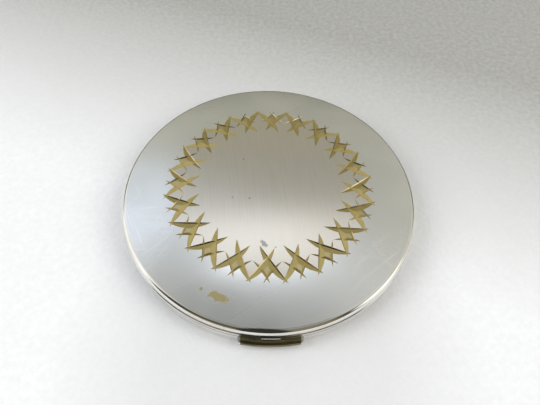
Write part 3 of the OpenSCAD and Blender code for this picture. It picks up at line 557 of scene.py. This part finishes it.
@dataclass(frozen=True)
class Paper:
    """Pale fibrous paper under the case, with painted shade greying it towards the back and a
    painted shadow in front of the case.
    """

    base: Colour = (0.92, 0.925, 0.945)
    fibre: Colour = (0.955, 0.96, 0.98)
    cloud: Colour = (0.9, 0.905, 0.92)
    rear_shade: Colour = (0.39, 0.385, 0.36)
    shade: Colour = (0.68, 0.68, 0.685)
    mottle: Colour = (0.74, 0.745, 0.76)
    rear_lean: float = 0.38
    rear_range: Pair = (-0.01, 0.09)
    shade_ahead: float = 0.045
    shade_range: Pair = (0.028, 0.055)

    def material(self) -> bpy.types.Material:
        """Two crossing sets of fibres, clouds and mottling over a base, with painted shade that
        greys it towards the back and a painted shadow in front of the case.
        """
        g = Graph.surface("paper")
        one = g.stretched((520.0, 130.0, 300.0), 35.0)
        other = g.stretched((480.0, 120.0, 300.0), -50.0, (9.0, 4.0, 0.0))
        fibre = g.calc("MAXIMUM", *(g.noise(way, 4.0, 0.65, 0.6) for way in (one, other)))
        cloud = g.noise(g.stretched(60.0), 4.0, 0.6)
        mottle = g.noise(g.stretched(620.0), 3.0, 0.6)
        x, y, _ = g.axes(g.place)
        back = g.calc("ADD", y, g.times(x, self.rear_lean))
        ahead = g.calc("ADD", y, self.shade_ahead)
        colour = g.mix(g.rise(fibre, 0.45, 0.75), self.base, self.fibre)
        colour = g.mix(g.rise(cloud, 0.35, 0.7, 0.4), colour, self.cloud)
        # Painted shade: the paper greys towards the back, more on the right.
        colour = g.mix(g.rise(back, *self.rear_range), colour, self.rear_shade)
        # Painted shadow: a soft darker patch on the paper just in front of the case.
        colour = g.mix(g.fall(g.length(x, ahead), *self.shade_range, 0.6), colour, self.shade)
        colour = g.mix(g.fall(mottle, 0.35, 0.65, 0.22), colour, self.mottle)
        relief = g.bump(mottle, 0.35 * MM, 0.6, g.bump(fibre, 0.1 * MM, 0.6))
        return g.finish(colour, 0.9, 0.0, relief)


def clear_material(target: bpy.types.Object, material: bpy.types.Material) -> None:
    """Puts one material on an object in place of what it had."""
    target.data.materials.clear()
    target.data.materials.append(material)


def placed(name: str, data: bpy.types.ID) -> bpy.types.Object:
    """Makes an object of a mesh, lamp or camera and links it to the scene."""
    made = bpy.data.objects.new(name, data)
    bpy.context.scene.collection.objects.link(made)
    return made


def new_piece(name: str, points: np.ndarray, faces: np.ndarray) -> bpy.types.Object:
    """Makes an object from arrays.

    Args:
        name: the piece's name.
        points: places in metres, one row each.
        faces: corner numbers, three or four to a row.

    Returns:
        The object, linked to the scene.
    """
    mesh = bpy.data.meshes.new(name)
    mesh.from_pydata(points.tolist(), [], faces.tolist())
    mesh.update()
    return placed(name, mesh)


def grid_faces(rows: int, columns: int, closed: bool) -> np.ndarray:
    """Quads of a grid of points numbered row by row.

    Args:
        rows: points down the grid.
        columns: points along a row.
        closed: whether a row's last point joins its first.

    Returns:
        Corner numbers, four to a row.
    """
    across = columns if closed else columns - 1
    i, j = np.meshgrid(np.arange(rows - 1), np.arange(across), indexing="ij")
    n = (j + 1) % columns
    return np.stack([i * columns + j, i * columns + n, (i + 1) * columns + n,
                     (i + 1) * columns + j], axis=-1).reshape(-1, 4)


def triangles_of(node: str) -> tuple[np.ndarray, np.ndarray]:
    """Points and triangles of a CAD node as packed, one set of points to each CAD face."""
    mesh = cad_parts[node].data
    points = np.empty(len(mesh.vertices) * 3)
    mesh.vertices.foreach_get("co", points)
    corners = np.empty(len(mesh.loops), dtype=np.int64)
    mesh.loops.foreach_get("vertex_index", corners)
    return points.reshape(-1, 3), corners.reshape(-1, 3)


def merged(points: np.ndarray, faces: np.ndarray) -> tuple[np.ndarray, np.ndarray]:
    """The same triangles on one set of points, in which no place comes twice."""
    whole, back = np.unique(points, axis=0, return_inverse=True)
    return whole, back.reshape(-1)[faces]


def face_normals(corners: np.ndarray) -> np.ndarray:
    """Cross product of each triangle's first two sides: its direction, and twice its area."""
    return np.cross(corners[:, 1] - corners[:, 0], corners[:, 2] - corners[:, 0])


def connected(count: int, faces: np.ndarray) -> np.ndarray:
    """A number for each point that is the same for all points joined by faces.

    Every point takes the lowest number among its faces' points until nothing changes.
    """
    labels = np.arange(count)
    while True:
        low = labels[faces].min(axis=1)
        after = labels.copy()
        for k in range(3):
            np.minimum.at(after, faces[:, k], low)
        after = after[after]
        if (after == labels).all():
            return labels
        labels = after


def smooth_all(mesh: bpy.types.Mesh) -> None:
    """Marks all faces of a mesh as smooth."""
    mesh.polygons.foreach_set("use_smooth", [True] * len(mesh.polygons))


def close_and_smooth(target: bpy.types.Object, angle: float) -> None:
    """Caps open ends, turns faces outwards and smooths edges flatter than an angle in degrees."""
    shape = bmesh.new()
    shape.from_mesh(target.data)
    bmesh.ops.remove_doubles(shape, verts=shape.verts, dist=WELD)
    bmesh.ops.holes_fill(shape, edges=[e for e in shape.edges if e.is_boundary])
    bmesh.ops.recalc_face_normals(shape, faces=shape.faces)
    shape.to_mesh(target.data)
    shape.free()
    smooth_all(target.data)
    target.data.set_sharp_from_angle(angle=math.radians(angle))


@dataclass
class Lid:
    """The domed lid: a copy of its solid with true dome normals and a finish for each surface.

    Attributes:
        dome_r: radius of the sphere that the dome is part of.
        round_r: radius of the rounded edge.
        round_ring_r: distance of the rounding's centre from the case's axis.
        side_r: outer radius, which the brushing's UV map spans.
        stars_in_r: radius that the ring of stars stays outside of.
        stars_out_r: radius that it stays inside of.
        cut_depth: most that the middle of a cut's triangle lies under the dome.
        on_surface: how far a point on the dome or the rounding may lie from it.
        wall_tilt: tilt from the dome in degrees, over which a cut's face is a wall.
        cut_smooth: least angle of a crisp edge on the dome and its cuts, in degrees.
        side_smooth: least angle of a crisp edge elsewhere, in degrees.
    """

    dome_r: float = 215 * MM
    round_r: float = 1.5 * MM
    round_ring_r: float = 39.65 * MM
    side_r: float = 41.15 * MM
    stars_in_r: float = 15 * MM
    stars_out_r: float = 32.5 * MM
    cut_depth: float = 0.5 * MM
    on_surface: float = 0.004 * MM
    wall_tilt: float = 34.0
    cut_smooth: float = 9.0
    side_smooth: float = 35.0
    satin: SatinSilver = SatinSilver()
    rim: RimSilver = RimSilver()
    side: TurnedSilver = TurnedSilver()
    cut: Gilding = Gilding("bright_cut_gold", (0.56, 0.45, 0.18), (0.48, 0.38, 0.145), 0.42,
                           2500.0)
    wall: Gilding = Gilding("polished_wall_gold", (0.62, 0.54, 0.36), (0.46, 0.38, 0.22), 0.16,
                            2500.0)
    star: Gilding = Gilding("pale_gold", (0.58, 0.5, 0.29), (0.52, 0.44, 0.24), 0.4, 1800.0)

    def build(self) -> bpy.types.Object:
        """Makes the piece that stands for the lid's shell.

        Returns:
            The dressed lid, with its object at the origin.
        """
        points, faces = triangles_of("lid_shell")
        centre = np.array([0.0, 0.0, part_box("lid_shell")[1].z - self.dome_r])
        kind = self.sort_faces(points, faces, centre)
        whole, faces = merged(points, faces)
        real = (faces != np.roll(faces, -1, axis=1)).all(axis=1)
        faces, kind = faces[real], kind[real]
        lid = new_piece("lid_shell_dressed", whole, faces)
        finishes = {Surface.SIDE: self.side, Surface.DISC: self.satin, Surface.RIM: self.rim,
                    Surface.STAR: self.star, Surface.FACET: self.cut, Surface.WALL: self.wall}
        for surface in Surface:
            lid.data.materials.append(finishes[surface].material())
        lid.data.polygons.foreach_set("material_index", kind)
        self.sharpen(lid.data, whole, faces, kind)
        self.bend_normals(lid.data, whole[faces].reshape(-1, 3), np.repeat(kind, 3), centre)
        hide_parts("lid_shell")
        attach(lid, "lid")
        LOG.info("lid: %d triangles, by finish %s", len(faces), np.bincount(kind).tolist())
        return lid

    def sort_faces(self, points: np.ndarray, faces: np.ndarray,
                   centre: np.ndarray) -> np.ndarray:
        """Finds the surface that each triangle belongs to.

        A CAD face whose points all lie on the dome's sphere is the disc if it reaches the
        middle, the rim if it reaches the edge, and a star's centre otherwise. Other faces
        that lie in the ring just under the dome are cuts: steep walls if they tilt from the
        dome by more than the set angle, and broad facets otherwise.

        Args:
            points: the solid's points, a set for each CAD face.
            faces: its triangles.
            centre: centre of the dome's sphere.

        Returns:
            Numbers of Surface, one for each triangle.
        """
        labels = connected(len(points), faces)
        off = np.abs(np.linalg.norm(points - centre, axis=1) - self.dome_r)
        r = np.hypot(points[:, 0], points[:, 1])
        farthest, widest = np.zeros(len(points)), np.zeros(len(points))
        nearest = np.full(len(points), np.inf)
        np.maximum.at(farthest, labels, off)
        np.minimum.at(nearest, labels, r)
        np.maximum.at(widest, labels, r)
        of_face = labels[faces[:, 0]]
        dome = farthest[of_face] < self.on_surface
        kind = np.full(len(faces), Surface.SIDE, dtype=np.int32)
        kind[dome] = Surface.STAR
        kind[dome & (widest[of_face] > self.stars_out_r)] = Surface.RIM
        kind[dome & (nearest[of_face] < self.stars_in_r)] = Surface.DISC
        corners = points[faces]
        middle = corners.mean(axis=1)
        out = middle - centre
        under = self.dome_r - np.linalg.norm(out, axis=1)
        flat = face_normals(corners)
        size = np.linalg.norm(flat, axis=1) * np.linalg.norm(out, axis=1)
        steep = (flat * out).sum(axis=1) < math.cos(math.radians(self.wall_tilt)) * size
        middle_r = np.hypot(middle[:, 0], middle[:, 1])
        cut = (~dome & (under < self.cut_depth) & (middle_r > self.stars_in_r)
               & (middle_r < self.stars_out_r))
        kind[cut] = Surface.FACET
        kind[cut & steep] = Surface.WALL
        return kind

    def sharpen(self, mesh: bpy.types.Mesh, points: np.ndarray, faces: np.ndarray,
                kind: np.ndarray) -> None:
        """Marks the edges that stay crisp.

        They are those between two surfaces, and those bent by more than the angle that the
        dome with its cuts, or the rest of the lid, allows. An edge's number is its lower
        point's times the count of points, plus its other point's.

        Args:
            mesh: the lid's mesh.
            points: its points.
            faces: its triangles.
            kind: the triangles' surfaces.
        """
        flat = face_normals(points[faces])
        flat /= np.maximum(np.linalg.norm(flat, axis=1, keepdims=True), TINY)
        ends = np.sort(np.concatenate([faces[:, [0, 1]], faces[:, [1, 2]], faces[:, [2, 0]]]),
                       axis=1)
        owner = np.tile(np.arange(len(faces)), 3)
        order = np.lexsort((ends[:, 1], ends[:, 0]))
        ends, owner = ends[order], owner[order]
        same = (ends[1:] == ends[:-1]).all(axis=1)
        first, second = owner[:-1][same], owner[1:][same]
        angle = np.degrees(np.arccos(np.clip((flat[first] * flat[second]).sum(axis=1), -1, 1)))
        fine = (kind[first] > Surface.SIDE) | (kind[second] > Surface.SIDE)
        limit = np.where(fine, self.cut_smooth, self.side_smooth)
        sharp = (angle > limit) | (kind[first] != kind[second])
        numbering = np.array([len(points), 1])
        hard = ends[:-1][same][sharp] @ numbering
        edges = np.empty(len(mesh.edges) * 2, dtype=np.int64)
        mesh.edges.foreach_get("vertices", edges)
        keys = np.sort(edges.reshape(-1, 2), axis=1) @ numbering
        mesh.edges.foreach_set("use_edge_sharp", np.isin(keys, hard))
        smooth_all(mesh)
        mesh.update()

    def bend_normals(self, mesh: bpy.types.Mesh, places: np.ndarray, kind: np.ndarray,
                     centre: np.ndarray) -> None:
        """Gives the outside its true normals and lays out the brushing's UV map.

        The dome's normal at a point is the direction from the sphere's centre to it, and
        the rounded edge's the direction from the nearest point of the rounding's centre ring.

        Args:
            mesh: the lid's mesh.
            places: places of its triangles' corners.
            kind: the corners' surfaces.
            centre: centre of the dome's sphere.
        """
        normals = np.empty(len(mesh.loops) * 3)
        mesh.corner_normals.foreach_get("vector", normals)
        normals = normals.reshape(-1, 3)
        on_dome = np.isin(kind, (Surface.DISC, Surface.RIM, Surface.STAR))
        true = places - centre
        true /= np.linalg.norm(true, axis=1, keepdims=True)
        normals[on_dome] = true[on_dome]
        reach = np.hypot(places[:, 0], places[:, 1])
        out = places[:, :2] / reach[:, None]
        ring_z = centre[2] + math.sqrt((self.dome_r - self.round_r) ** 2
                                       - self.round_ring_r ** 2)
        over = np.stack([reach - self.round_ring_r, places[:, 2] - ring_z], axis=1)
        off = np.abs(np.linalg.norm(over, axis=1) - self.round_r)
        rounded = ((kind == Surface.SIDE) & (off < self.on_surface)
                   & (over[:, 1] > -self.on_surface))
        rounded = rounded.reshape(-1, 3).all(axis=1).repeat(3)
        over /= np.linalg.norm(over, axis=1, keepdims=True)
        normals[rounded] = np.concatenate([out * over[:, :1], over[:, 1:]], axis=1)[rounded]
        mesh.normals_split_custom_set(normals.tolist())
        uv = mesh.uv_layers.new(name=BRUSHING)
        uv.data.foreach_set("uv", (places[:, :2] / self.side_r * 0.5 + 0.5).ravel())


@dataclass
class Spring:
    """The torsion spring on the powder lid's pin, as a round wire."""

    wire_r: float = 0.17 * MM
    coil_r: float = 0.62 * MM
    coil_len: float = 5.4 * MM
    turns: int = 6
    front_leg: float = 1.4 * MM
    rear_leg: float = 0.7 * MM
    steps: int = 32
    sides: int = 12
    smooth: float = 40.0

    def build(self, steel: bpy.types.Material) -> bpy.types.Object:
        """Makes the wire along a helix about the pin, with a straight leg at each end.

        The helix is x = length * t, y = r cos a, z = r sin a, with a from -90 degrees.
        A ring of points is set square to the path at each place.

        Args:
            steel: the wire's finish.

        Returns:
            The wire.
        """
        low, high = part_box("powder_lid_pin")
        axis = np.array([0.0, (low.y + high.y) / 2, (low.z + high.z) / 2])
        count = self.turns * self.steps
        t = np.arange(count + 1) / count
        a = 2 * np.pi * self.turns * t - np.pi / 2
        up = np.stack([np.zeros(count + 1), np.cos(a), np.sin(a)], axis=1)
        coil = self.coil_r * up
        coil[:, 0] = self.coil_len * (t - 0.5)
        path = np.concatenate([coil[:1] - [0, self.front_leg, 0], coil,
                               coil[-1:] + [0, self.rear_leg, 0]]) + axis
        up = np.concatenate([[[0, 0, -1.0]], up, [[0, 0, -1.0]]])
        heading = np.gradient(path, axis=0)
        heading /= np.linalg.norm(heading, axis=1, keepdims=True)
        side = np.cross(heading, up)
        side /= np.linalg.norm(side, axis=1, keepdims=True)
        up = np.cross(side, heading)
        turn = 2 * np.pi * np.arange(self.sides) / self.sides
        rings = path[:, None] + self.wire_r * (np.cos(turn)[None, :, None] * up[:, None]
                                              + np.sin(turn)[None, :, None] * side[:, None])
        wire = new_piece("powder_lid_spring_wire", rings.reshape(-1, 3),
                         grid_faces(len(path), self.sides, True))
        close_and_smooth(wire, self.smooth)
        clear_material(wire, steel)
        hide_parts("powder_lid_spring")
        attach(wire, "base")
        LOG.info("spring: %d turns", self.turns)
        return wire


@dataclass
class LeafSpring:
    """The bowed leaf behind the catch's slide, which flattens as the catch is pressed in."""

    catch: str = "thumb_catch"
    smooth: float = 30.0

    def build(self, steel: bpy.types.Material) -> bpy.types.Object:
        """Makes the leaf as a copy of its solid.

        Args:
            steel: the leaf's finish.

        Returns:
            The leaf.
        """
        leaf = new_piece("catch_spring_leaf", *merged(*triangles_of("catch_spring")))
        close_and_smooth(leaf, self.smooth)
        clear_material(leaf, steel)
        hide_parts("catch_spring")
        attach(leaf, "base")
        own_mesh(leaf)
        return leaf


@dataclass
class Puff:
    """The round puff: a crowned pad that draws in at its seam, with a ribbon laid over it.

    Attributes:
        crown: how far the top's middle stands over its edge.
        waist: how far the half round side stands out from the top's edge.
        pile: depth of the skin that is stirred.
        eye: radius of the innermost ring of points, as a share of the top's radius.
        around: points round the pad.
        across: points from the middle to the edge.
        down: steps down the side.
        stirs: count of the waves that stir the skin.
        stir_waves: range of their wave numbers, in radians per metre.
        seed: seed of the waves.
        smooth: least angle of a crisp edge, in degrees.
        ribbon_t: thickness of the ribbon, half of which is the sheet's.
        ribbon_gap: gap between ribbon and pad.
        ribbon_bend: angles down the pad's side that the ribbon covers, in degrees.
        ribbon_along: points along half of the ribbon's flat part.
        ribbon_across: points across the ribbon.
    """

    crown: float = 0.7 * MM
    waist: float = 0.5 * MM
    pile: float = 0.05 * MM
    eye: float = 0.004
    around: int = 180
    across: int = 60
    down: int = 14
    stirs: int = 24
    stir_waves: Pair = (500.0, 1500.0)
    seed: int = 11
    smooth: float = 60.0
    ribbon_t: float = 0.2 * MM
    ribbon_gap: float = 0.05 * MM
    ribbon_bend: Pair = (6.0, 84.0)
    ribbon_along: int = 40
    ribbon_across: int = 12

    def edge(self) -> Triple:
        """Radius and height of the top's edge, and half of the pad's thickness there."""
        low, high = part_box("puff_pad")
        edge_z = high.z - self.crown
        return high.x - self.waist, edge_z, (edge_z - low.z) / 2

    def top_height(self, r: np.ndarray) -> np.ndarray:
        """Height of the top: the edge's, plus the crown times 1 less the share of r squared."""
        reach, edge_z, _ = self.edge()
        return edge_z + self.crown * (1 - np.minimum(r / reach, 1.0) ** 2)

    def stir(self, x: np.ndarray, y: np.ndarray) -> np.ndarray:
        """How far the skin sinks at each place: a sum of seeded plane waves, never over 0."""
        rng = np.random.default_rng(self.seed)
        total = np.zeros_like(x)
        for _ in range(self.stirs):
            way, phase = rng.uniform(0, 2 * np.pi, 2)
            waves = rng.uniform(*self.stir_waves)
            total += np.sin(waves * (x * np.cos(way) + y * np.sin(way)) + phase)
        return np.minimum((total / self.stirs - 0.5) * self.pile, 0.0)

    def build(self, velour: bpy.types.Material) -> bpy.types.Object:
        """Makes the pad as a turned profile whose skin is stirred, inside the solid's skin.

        Top and bottom are discs joined by a half round side. The stir moves a point
        towards the middle height by a share of its distance from it.

        Args:
            velour: the pad's finish.

        Returns:
            The pad.
        """
        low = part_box("puff_pad")[0]
        reach, edge_z, half = self.edge()
        middle_z = edge_z - half
        top_r = reach * np.linspace(self.eye, 1.0, self.across)
        side = np.pi * np.arange(1, self.down) / self.down
        profile_r = np.concatenate([top_r, reach + self.waist * np.sin(side), top_r[::-1]])
        profile_z = np.concatenate([self.top_height(top_r), middle_z + half * np.cos(side),
                                    np.full(self.across, low.z)])
        turn = 2 * np.pi * np.arange(self.around) / self.around
        x = profile_r[:, None] * np.cos(turn)
        y = profile_r[:, None] * np.sin(turn)
        z = middle_z + (profile_z[:, None] - middle_z) * (1 + self.stir(x, y) / half)
        pad = new_piece("puff_cushion", np.stack([x, y, z], axis=-1).reshape(-1, 3),
                        grid_faces(len(profile_r), self.around, True))
        close_and_smooth(pad, self.smooth)
        clear_material(pad, velour)
        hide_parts("puff_pad")
        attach(pad, "base")
        LOG.info("puff: %d faces", len(pad.data.polygons))
        return pad

    def build_ribbon(self, satin: bpy.types.Material) -> bpy.types.Object:
        """Makes the ribbon that crosses the pad along X and turns down over its side.

        Its line follows the pad's top height along X, then the half round side; it is
        swept across Y and given its thickness.

        Args:
            satin: the ribbon's finish.

        Returns:
            The ribbon.
        """
        low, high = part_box("puff_ribbon")
        reach, edge_z, half = self.edge()
        xs = np.linspace(0, reach, self.ribbon_along)
        down = np.radians(np.linspace(*self.ribbon_bend, self.down))
        line_x = np.concatenate([xs, reach + (self.waist + self.ribbon_gap) * np.sin(down)])
        line_z = np.concatenate([self.top_height(xs) + self.ribbon_gap,
                                 edge_z - half + (half + self.ribbon_gap) * np.cos(down)])
        line_x = np.concatenate([-line_x[:0:-1], line_x])
        line_z = np.concatenate([line_z[:0:-1], line_z])
        ys = np.linspace(low.y, high.y, self.ribbon_across)
        points = np.stack(np.broadcast_arrays(line_x[:, None], ys[None], line_z[:, None]),
                          axis=-1).reshape(-1, 3)
        band = new_piece("puff_ribbon_band", points,
                         grid_faces(len(line_x), self.ribbon_across, False))
        solid = band.modifiers.new("thickness", "SOLIDIFY")
        solid.thickness = self.ribbon_t / 2
        solid.offset = -1.0 if band.data.polygons[0].normal.z < 0 else 1.0
        smooth_all(band.data)
        clear_material(band, satin)
        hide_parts("puff_ribbon")
        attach(band, "base")
        return band


@dataclass
class Fittings:
    """The CAD nodes that keep their own shape and take a finish."""

    silver: tuple[str, ...] = ("base_shell",)
    gilt: tuple[str, ...] = (
        "base_hinge_leaf", "inner_ring", "powder_pan", "sifter_rim", "powder_lid_bracket",
        "catch_guide", "lid_hinge_leaf", "mirror_frame", "catch_plate", "catch_slide",
        "catch_hook", "powder_lid", "powder_lid_knuckles", "powder_lid_tab")
    steel: tuple[str, ...] = ("hinge_pin", "bracket_rivets", "powder_lid_pin", "hook_rivet")
    gold: Gilding = Gilding("polished_gilt", (0.86, 0.66, 0.32), (0.78, 0.58, 0.26), 0.2,
                            (700.0, 700.0, 2500.0))
    gauze: Weave = Weave("gauze", (0.85, 0.8, 0.7), (0.5, 0.4, 0.32), 0.32 * MM, 0.05 * MM, 0.8)

    def dress(self, steel: bpy.types.Material) -> None:
        """Assigns a finish to each node."""
        gilt = self.gold.material()
        rows = [(self.silver, TurnedSilver().material(), Slot.SILVER),
                (self.gilt, gilt, Slot.GILT),
                (self.steel, steel, Slot.STEEL),
                (("thumb_bar",), DarkRibbedBrass().material(), Slot.WORN),
                (("mirror_glass",), SilveredGlass().material(), Slot.GLASS),
                (("mirror_card",), Board().material(), Slot.CARD),
                (("sifter_gauze",), self.gauze.material(), Slot.GAUZE)]
        for names, material, slot in rows:
            for name in names:
                clear_material(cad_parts[name], material)
                LOG.info("fitting: %s takes %s", name, material.name)


def direction(azimuth: float, elevation: float) -> Vector:
    """Unit vector of a direction in degrees: 0 is along +Y, 90 along +X, and up is positive."""
    a, e = math.radians(azimuth), math.radians(elevation)
    return Vector((math.sin(a) * math.cos(e), math.cos(a) * math.cos(e), math.sin(e)))


@dataclass(frozen=True)
class Step:
    """A soft step of a patch: it goes from before to after as a measure goes from low to high."""

    along: str
    low: float
    high: float
    before: float = 0.0
    after: float = 1.0


@dataclass(frozen=True)
class Patch:
    """A part of the room that shows its colour by the product of its steps."""

    colour: Colour
    steps: tuple[Step, ...]


@dataclass(frozen=True)
class Glow:
    """A soft disc in the room, full inside one angle from its middle and gone at another."""

    azimuth: float
    elevation: float
    inner: float
    outer: float
    colour: Colour


@dataclass(frozen=True)
class Room:
    """The room seen in the metal, painted on the sky patch by patch.

    A direction's measures are its parts x, y and z; aside, |x| / sqrt(1 - z^2), which says
    how far it lies to the side of the viewer; and top, its height over the line behind the
    viewer, which is higher on the right.
    """

    back: Colour = (0.55, 0.54, 0.44)
    ceiling: Patch = Patch((0.305, 0.31, 0.295), (Step("z", 0.4, 0.9),))
    right: Patch = Patch((0.64, 0.62, 0.55), (Step("x", 0.3, 0.6),))
    left: Patch = Patch((1.2, 1.19, 1.18), (
        Step("x", -0.32, -0.95), Step("y", 0.35, 0.65, 1.0, 0.5)))
    dark_low: Patch = Patch((0.11, 0.108, 0.08), (
        Step("z", 0.28, 0.42, 1.0, 0.0), Step("y", 0.3, 0.5)))
    dark_front: Patch = Patch((0.07, 0.066, 0.05), (
        Step("z", 0.7, 0.82, 1.0, 0.0), Step("y", -0.36, -0.22, 1.0, 0.0),
        Step("z", 0.06, 0.12)))
    window: Patch = Patch((2.15, 2.25, 2.42), (
        Step("y", 0.17, 0.23), Step("y", 0.4, 0.49, 1.0, 0.0), Step("x", -0.31, -0.19),
        Step("x", 0.12, 0.36, 1.0, 0.0), Step("z", 0.0, 0.1)))
    glows: tuple[Glow, ...] = (
        Glow(-50.0, 46.0, 6.0, 16.0, (1.02, 1.12, 1.28)),
        Glow(75.0, 62.0, 6.0, 16.0, (0.72, 0.72, 0.7)),
        Glow(105.0, 22.0, 12.0, 22.0, (1.5, 1.47, 1.4)))
    behind_viewer: Patch = Patch((0.24, 0.21, 0.145), (
        Step("aside", 0.62, 0.78, 1.0, 0.0), Step("y", -0.25, -0.12, 1.0, 0.0),
        Step("top", -0.05, 0.05, 1.0, 0.0)))
    viewer: Patch = Patch((0.035, 0.033, 0.03), (
        Step("aside", 0.22, 0.3, 1.0, 0.0), Step("y", -0.07, -0.03, 1.0, 0.0)))
    viewer_line: Step = Step("x", -0.1, 0.1, 0.42, 0.76)

    def build(self, swing: float) -> None:
        """Paints the world: patches, glows by the dot product with their direction, the viewer.

        Args:
            swing: angle in degrees by which the room is turned about Z with the camera.
        """
        g = Graph(bpy.data.worlds.new("room"), "Background", "Generated")
        bpy.context.scene.world = g.owner
        way = g.stretched(1.0, swing)
        measures = dict(zip("xyz", g.axes(way)))
        x, z = measures["x"], measures["z"]
        flat = g.calc("SQRT", g.calc("MAXIMUM", g.calc("SUBTRACT", 1.0, g.times(z, z)), 0.0001))
        measures["aside"] = g.calc("DIVIDE", g.calc("ABSOLUTE", x), flat)
        measures["top"] = g.calc("SUBTRACT", z, self.step(g, measures, self.viewer_line))
        paint = self.back
        for patch in (self.ceiling, self.right, self.left, self.dark_low, self.dark_front,
                      self.window):
            paint = self.lay(g, measures, patch, paint)
        for glow in self.glows:
            near = g.tree.nodes.new("ShaderNodeVectorMath")
            near.operation = "DOT_PRODUCT"
            g.join(near.inputs[0], way)
            near.inputs[1].default_value = direction(glow.azimuth, glow.elevation)
            share = g.rise(near.outputs["Value"], math.cos(math.radians(glow.outer)),
                           math.cos(math.radians(glow.inner)))
            paint = g.mix(share, paint, glow.colour)
        for patch in (self.behind_viewer, self.viewer):
            paint = self.lay(g, measures, patch, paint)
        g.join(g.shader.inputs["Color"], paint)

    @staticmethod
    def step(g: Graph, measures: dict[str, Socket], step: Step) -> Socket:
        """A step as a socket."""
        return g.level(measures[step.along], step.low, step.high, step.before, step.after)

    def lay(self, g: Graph, measures: dict[str, Socket], patch: Patch, under: Paint) -> Socket:
        """Lays a patch over the colours so far."""
        steps = [self.step(g, measures, step) for step in patch.steps]
        return g.mix(g.times(*steps), under, patch.colour)


@dataclass(frozen=True)
class Lamp:
    """An area lamp that faces the object and doesn't show in the metal.

    Attributes:
        name: the lamp's name.
        azimuth: direction from the object, 0 along +Y and 90 along +X, in degrees.
        elevation: height above the floor in degrees.
        power: watts.
        colour: colour of the light.
        away: distance in metres.
        size: side of the square lamp in metres.
    """

    name: str
    azimuth: float
    elevation: float
    power: float
    colour: Colour
    away: float = 0.6
    size: float = 0.4

    def build(self) -> bpy.types.Object:
        """Hangs the lamp and points it at the object."""
        data = bpy.data.lights.new(self.name, "AREA")
        data.shape = "RECTANGLE"
        data.size = data.size_y = self.size
        data.energy, data.color = self.power, self.colour
        way = direction(self.azimuth, self.elevation)
        made = placed(self.name, data)
        made.visible_glossy = False
        made.location = way * self.away
        made.rotation_mode = "QUATERNION"
        made.rotation_quaternion = (-way).to_track_quat("-Z", "Y")
        return made


@dataclass
class Studio:
    """Camera, lamps, paper floor and the room around them.

    Angles are in degrees.

    Attributes:
        face_r: radius of the lid's face, by which the camera's distance is measured.
        face_z: height of the face's edge, which the camera looks at.
        focal_px: focal length in pixels of the photograph.
        photo_w: width of the photograph in pixels.
        distance: the camera's distance in radii of the face.
        elevation: height of the camera over the floor.
        roll: turn about the line of sight.
        pan: turn about the camera's up direction.
        tilt: turn about its right direction.
        swing: turn of the camera and the room about Z.
        sensor: width of the sensor in millimetres.
        shift: shift of the picture as a share of its width.
        clip: nearest and farthest distance that is drawn, in metres.
        paper_half: half of the paper's side in metres.
    """

    face_r: float = 40.4 * MM
    face_z: float = 8.0 * MM
    focal_px: float = 463.98
    photo_w: float = 540.0
    distance: float = 3.2463
    elevation: float = 54.594
    roll: float = -2.381
    pan: float = -0.192
    tilt: float = -1.637
    swing: float = -2.5
    sensor: float = 36.0
    shift: Pair = (-0.0011, 0.0009)
    clip: Pair = (0.005, 20.0)
    paper_half: float = 0.9
    lamps: tuple[Lamp, ...] = (
        Lamp("window_right", 112.0, 42.0, 1.6, (1.0, 0.99, 0.97)),
        Lamp("window_left", -105.0, 38.0, 1.8, (0.96, 0.98, 1.0)))

    def camera(self) -> bpy.types.Object:
        """Sets the camera where the photograph was taken from.

        The line of sight is raised by the elevation, then turned by pan about its up
        direction, by tilt about the right direction and by roll about itself. Last of
        all, place and sight are swung about Z.

        Returns:
            The camera.
        """
        e = math.radians(self.elevation)
        swing = Matrix.Rotation(math.radians(self.swing), 3, "Z")
        place = swing @ Vector((0, -math.cos(e), math.sin(e))) * self.distance * self.face_r
        place.z += self.face_z
        sight, right = Vector((0, math.cos(e), -math.sin(e))), Vector((1, 0, 0))
        up = right.cross(sight)
        turn = (Matrix.Rotation(math.radians(self.tilt), 3, right)
                @ Matrix.Rotation(math.radians(self.pan), 3, up))
        sight, right = turn @ sight, turn @ right
        up = right.cross(sight)
        spin = Matrix.Rotation(math.radians(self.roll), 3, sight)
        right, up, sight = swing @ spin @ right, swing @ spin @ up, swing @ sight
        data = bpy.data.cameras.new("camera")
        data.sensor_width = self.sensor
        data.lens = self.focal_px / self.photo_w * self.sensor
        data.shift_x, data.shift_y = self.shift
        data.clip_start, data.clip_end = self.clip
        made = placed("camera", data)
        axes = Matrix((right, up, -sight)).transposed().to_4x4()
        made.matrix_world = Matrix.Translation(place) @ axes
        bpy.context.scene.camera = made
        return made

    def floor(self) -> bpy.types.Object:
        """Lays a square sheet of paper under the case."""
        half = self.paper_half
        corners = [[-half, -half, 0], [half, -half, 0], [half, half, 0], [-half, half, 0]]
        paper = new_piece("paper_floor", np.array(corners), np.array([[0, 1, 2, 3]]))
        clear_material(paper, Paper().material())
        return paper

    def build(self) -> None:
        """Makes the whole studio and the view settings."""
        self.camera()
        Room().build(self.swing)
        self.floor()
        for lamp in self.lamps:
            lamp.build()
        bpy.context.scene.view_settings.view_transform = "Standard"
        LOG.info("studio: camera, %d lamps, floor and room", len(self.lamps))


def main() -> None:
    """Builds every sub-assembly in order."""
    logging.basicConfig(level=logging.INFO, format="%(message)s")
    Studio().build()
    steel = DrawnSteel().material()
    Fittings().dress(steel)
    Lid().build()
    Spring().build(steel)
    LeafSpring().build(steel)
    puff = Puff()
    puff.build(Velour().material())
    puff.build_ribbon(Weave("ribbon_satin", (0.78, 0.42, 0.42), (0.6, 0.28, 0.3), 0.24 * MM,
                            0.02 * MM, 0.4).material())
    bpy.context.view_layer.update()


if __name__ == "__main__":
    main()
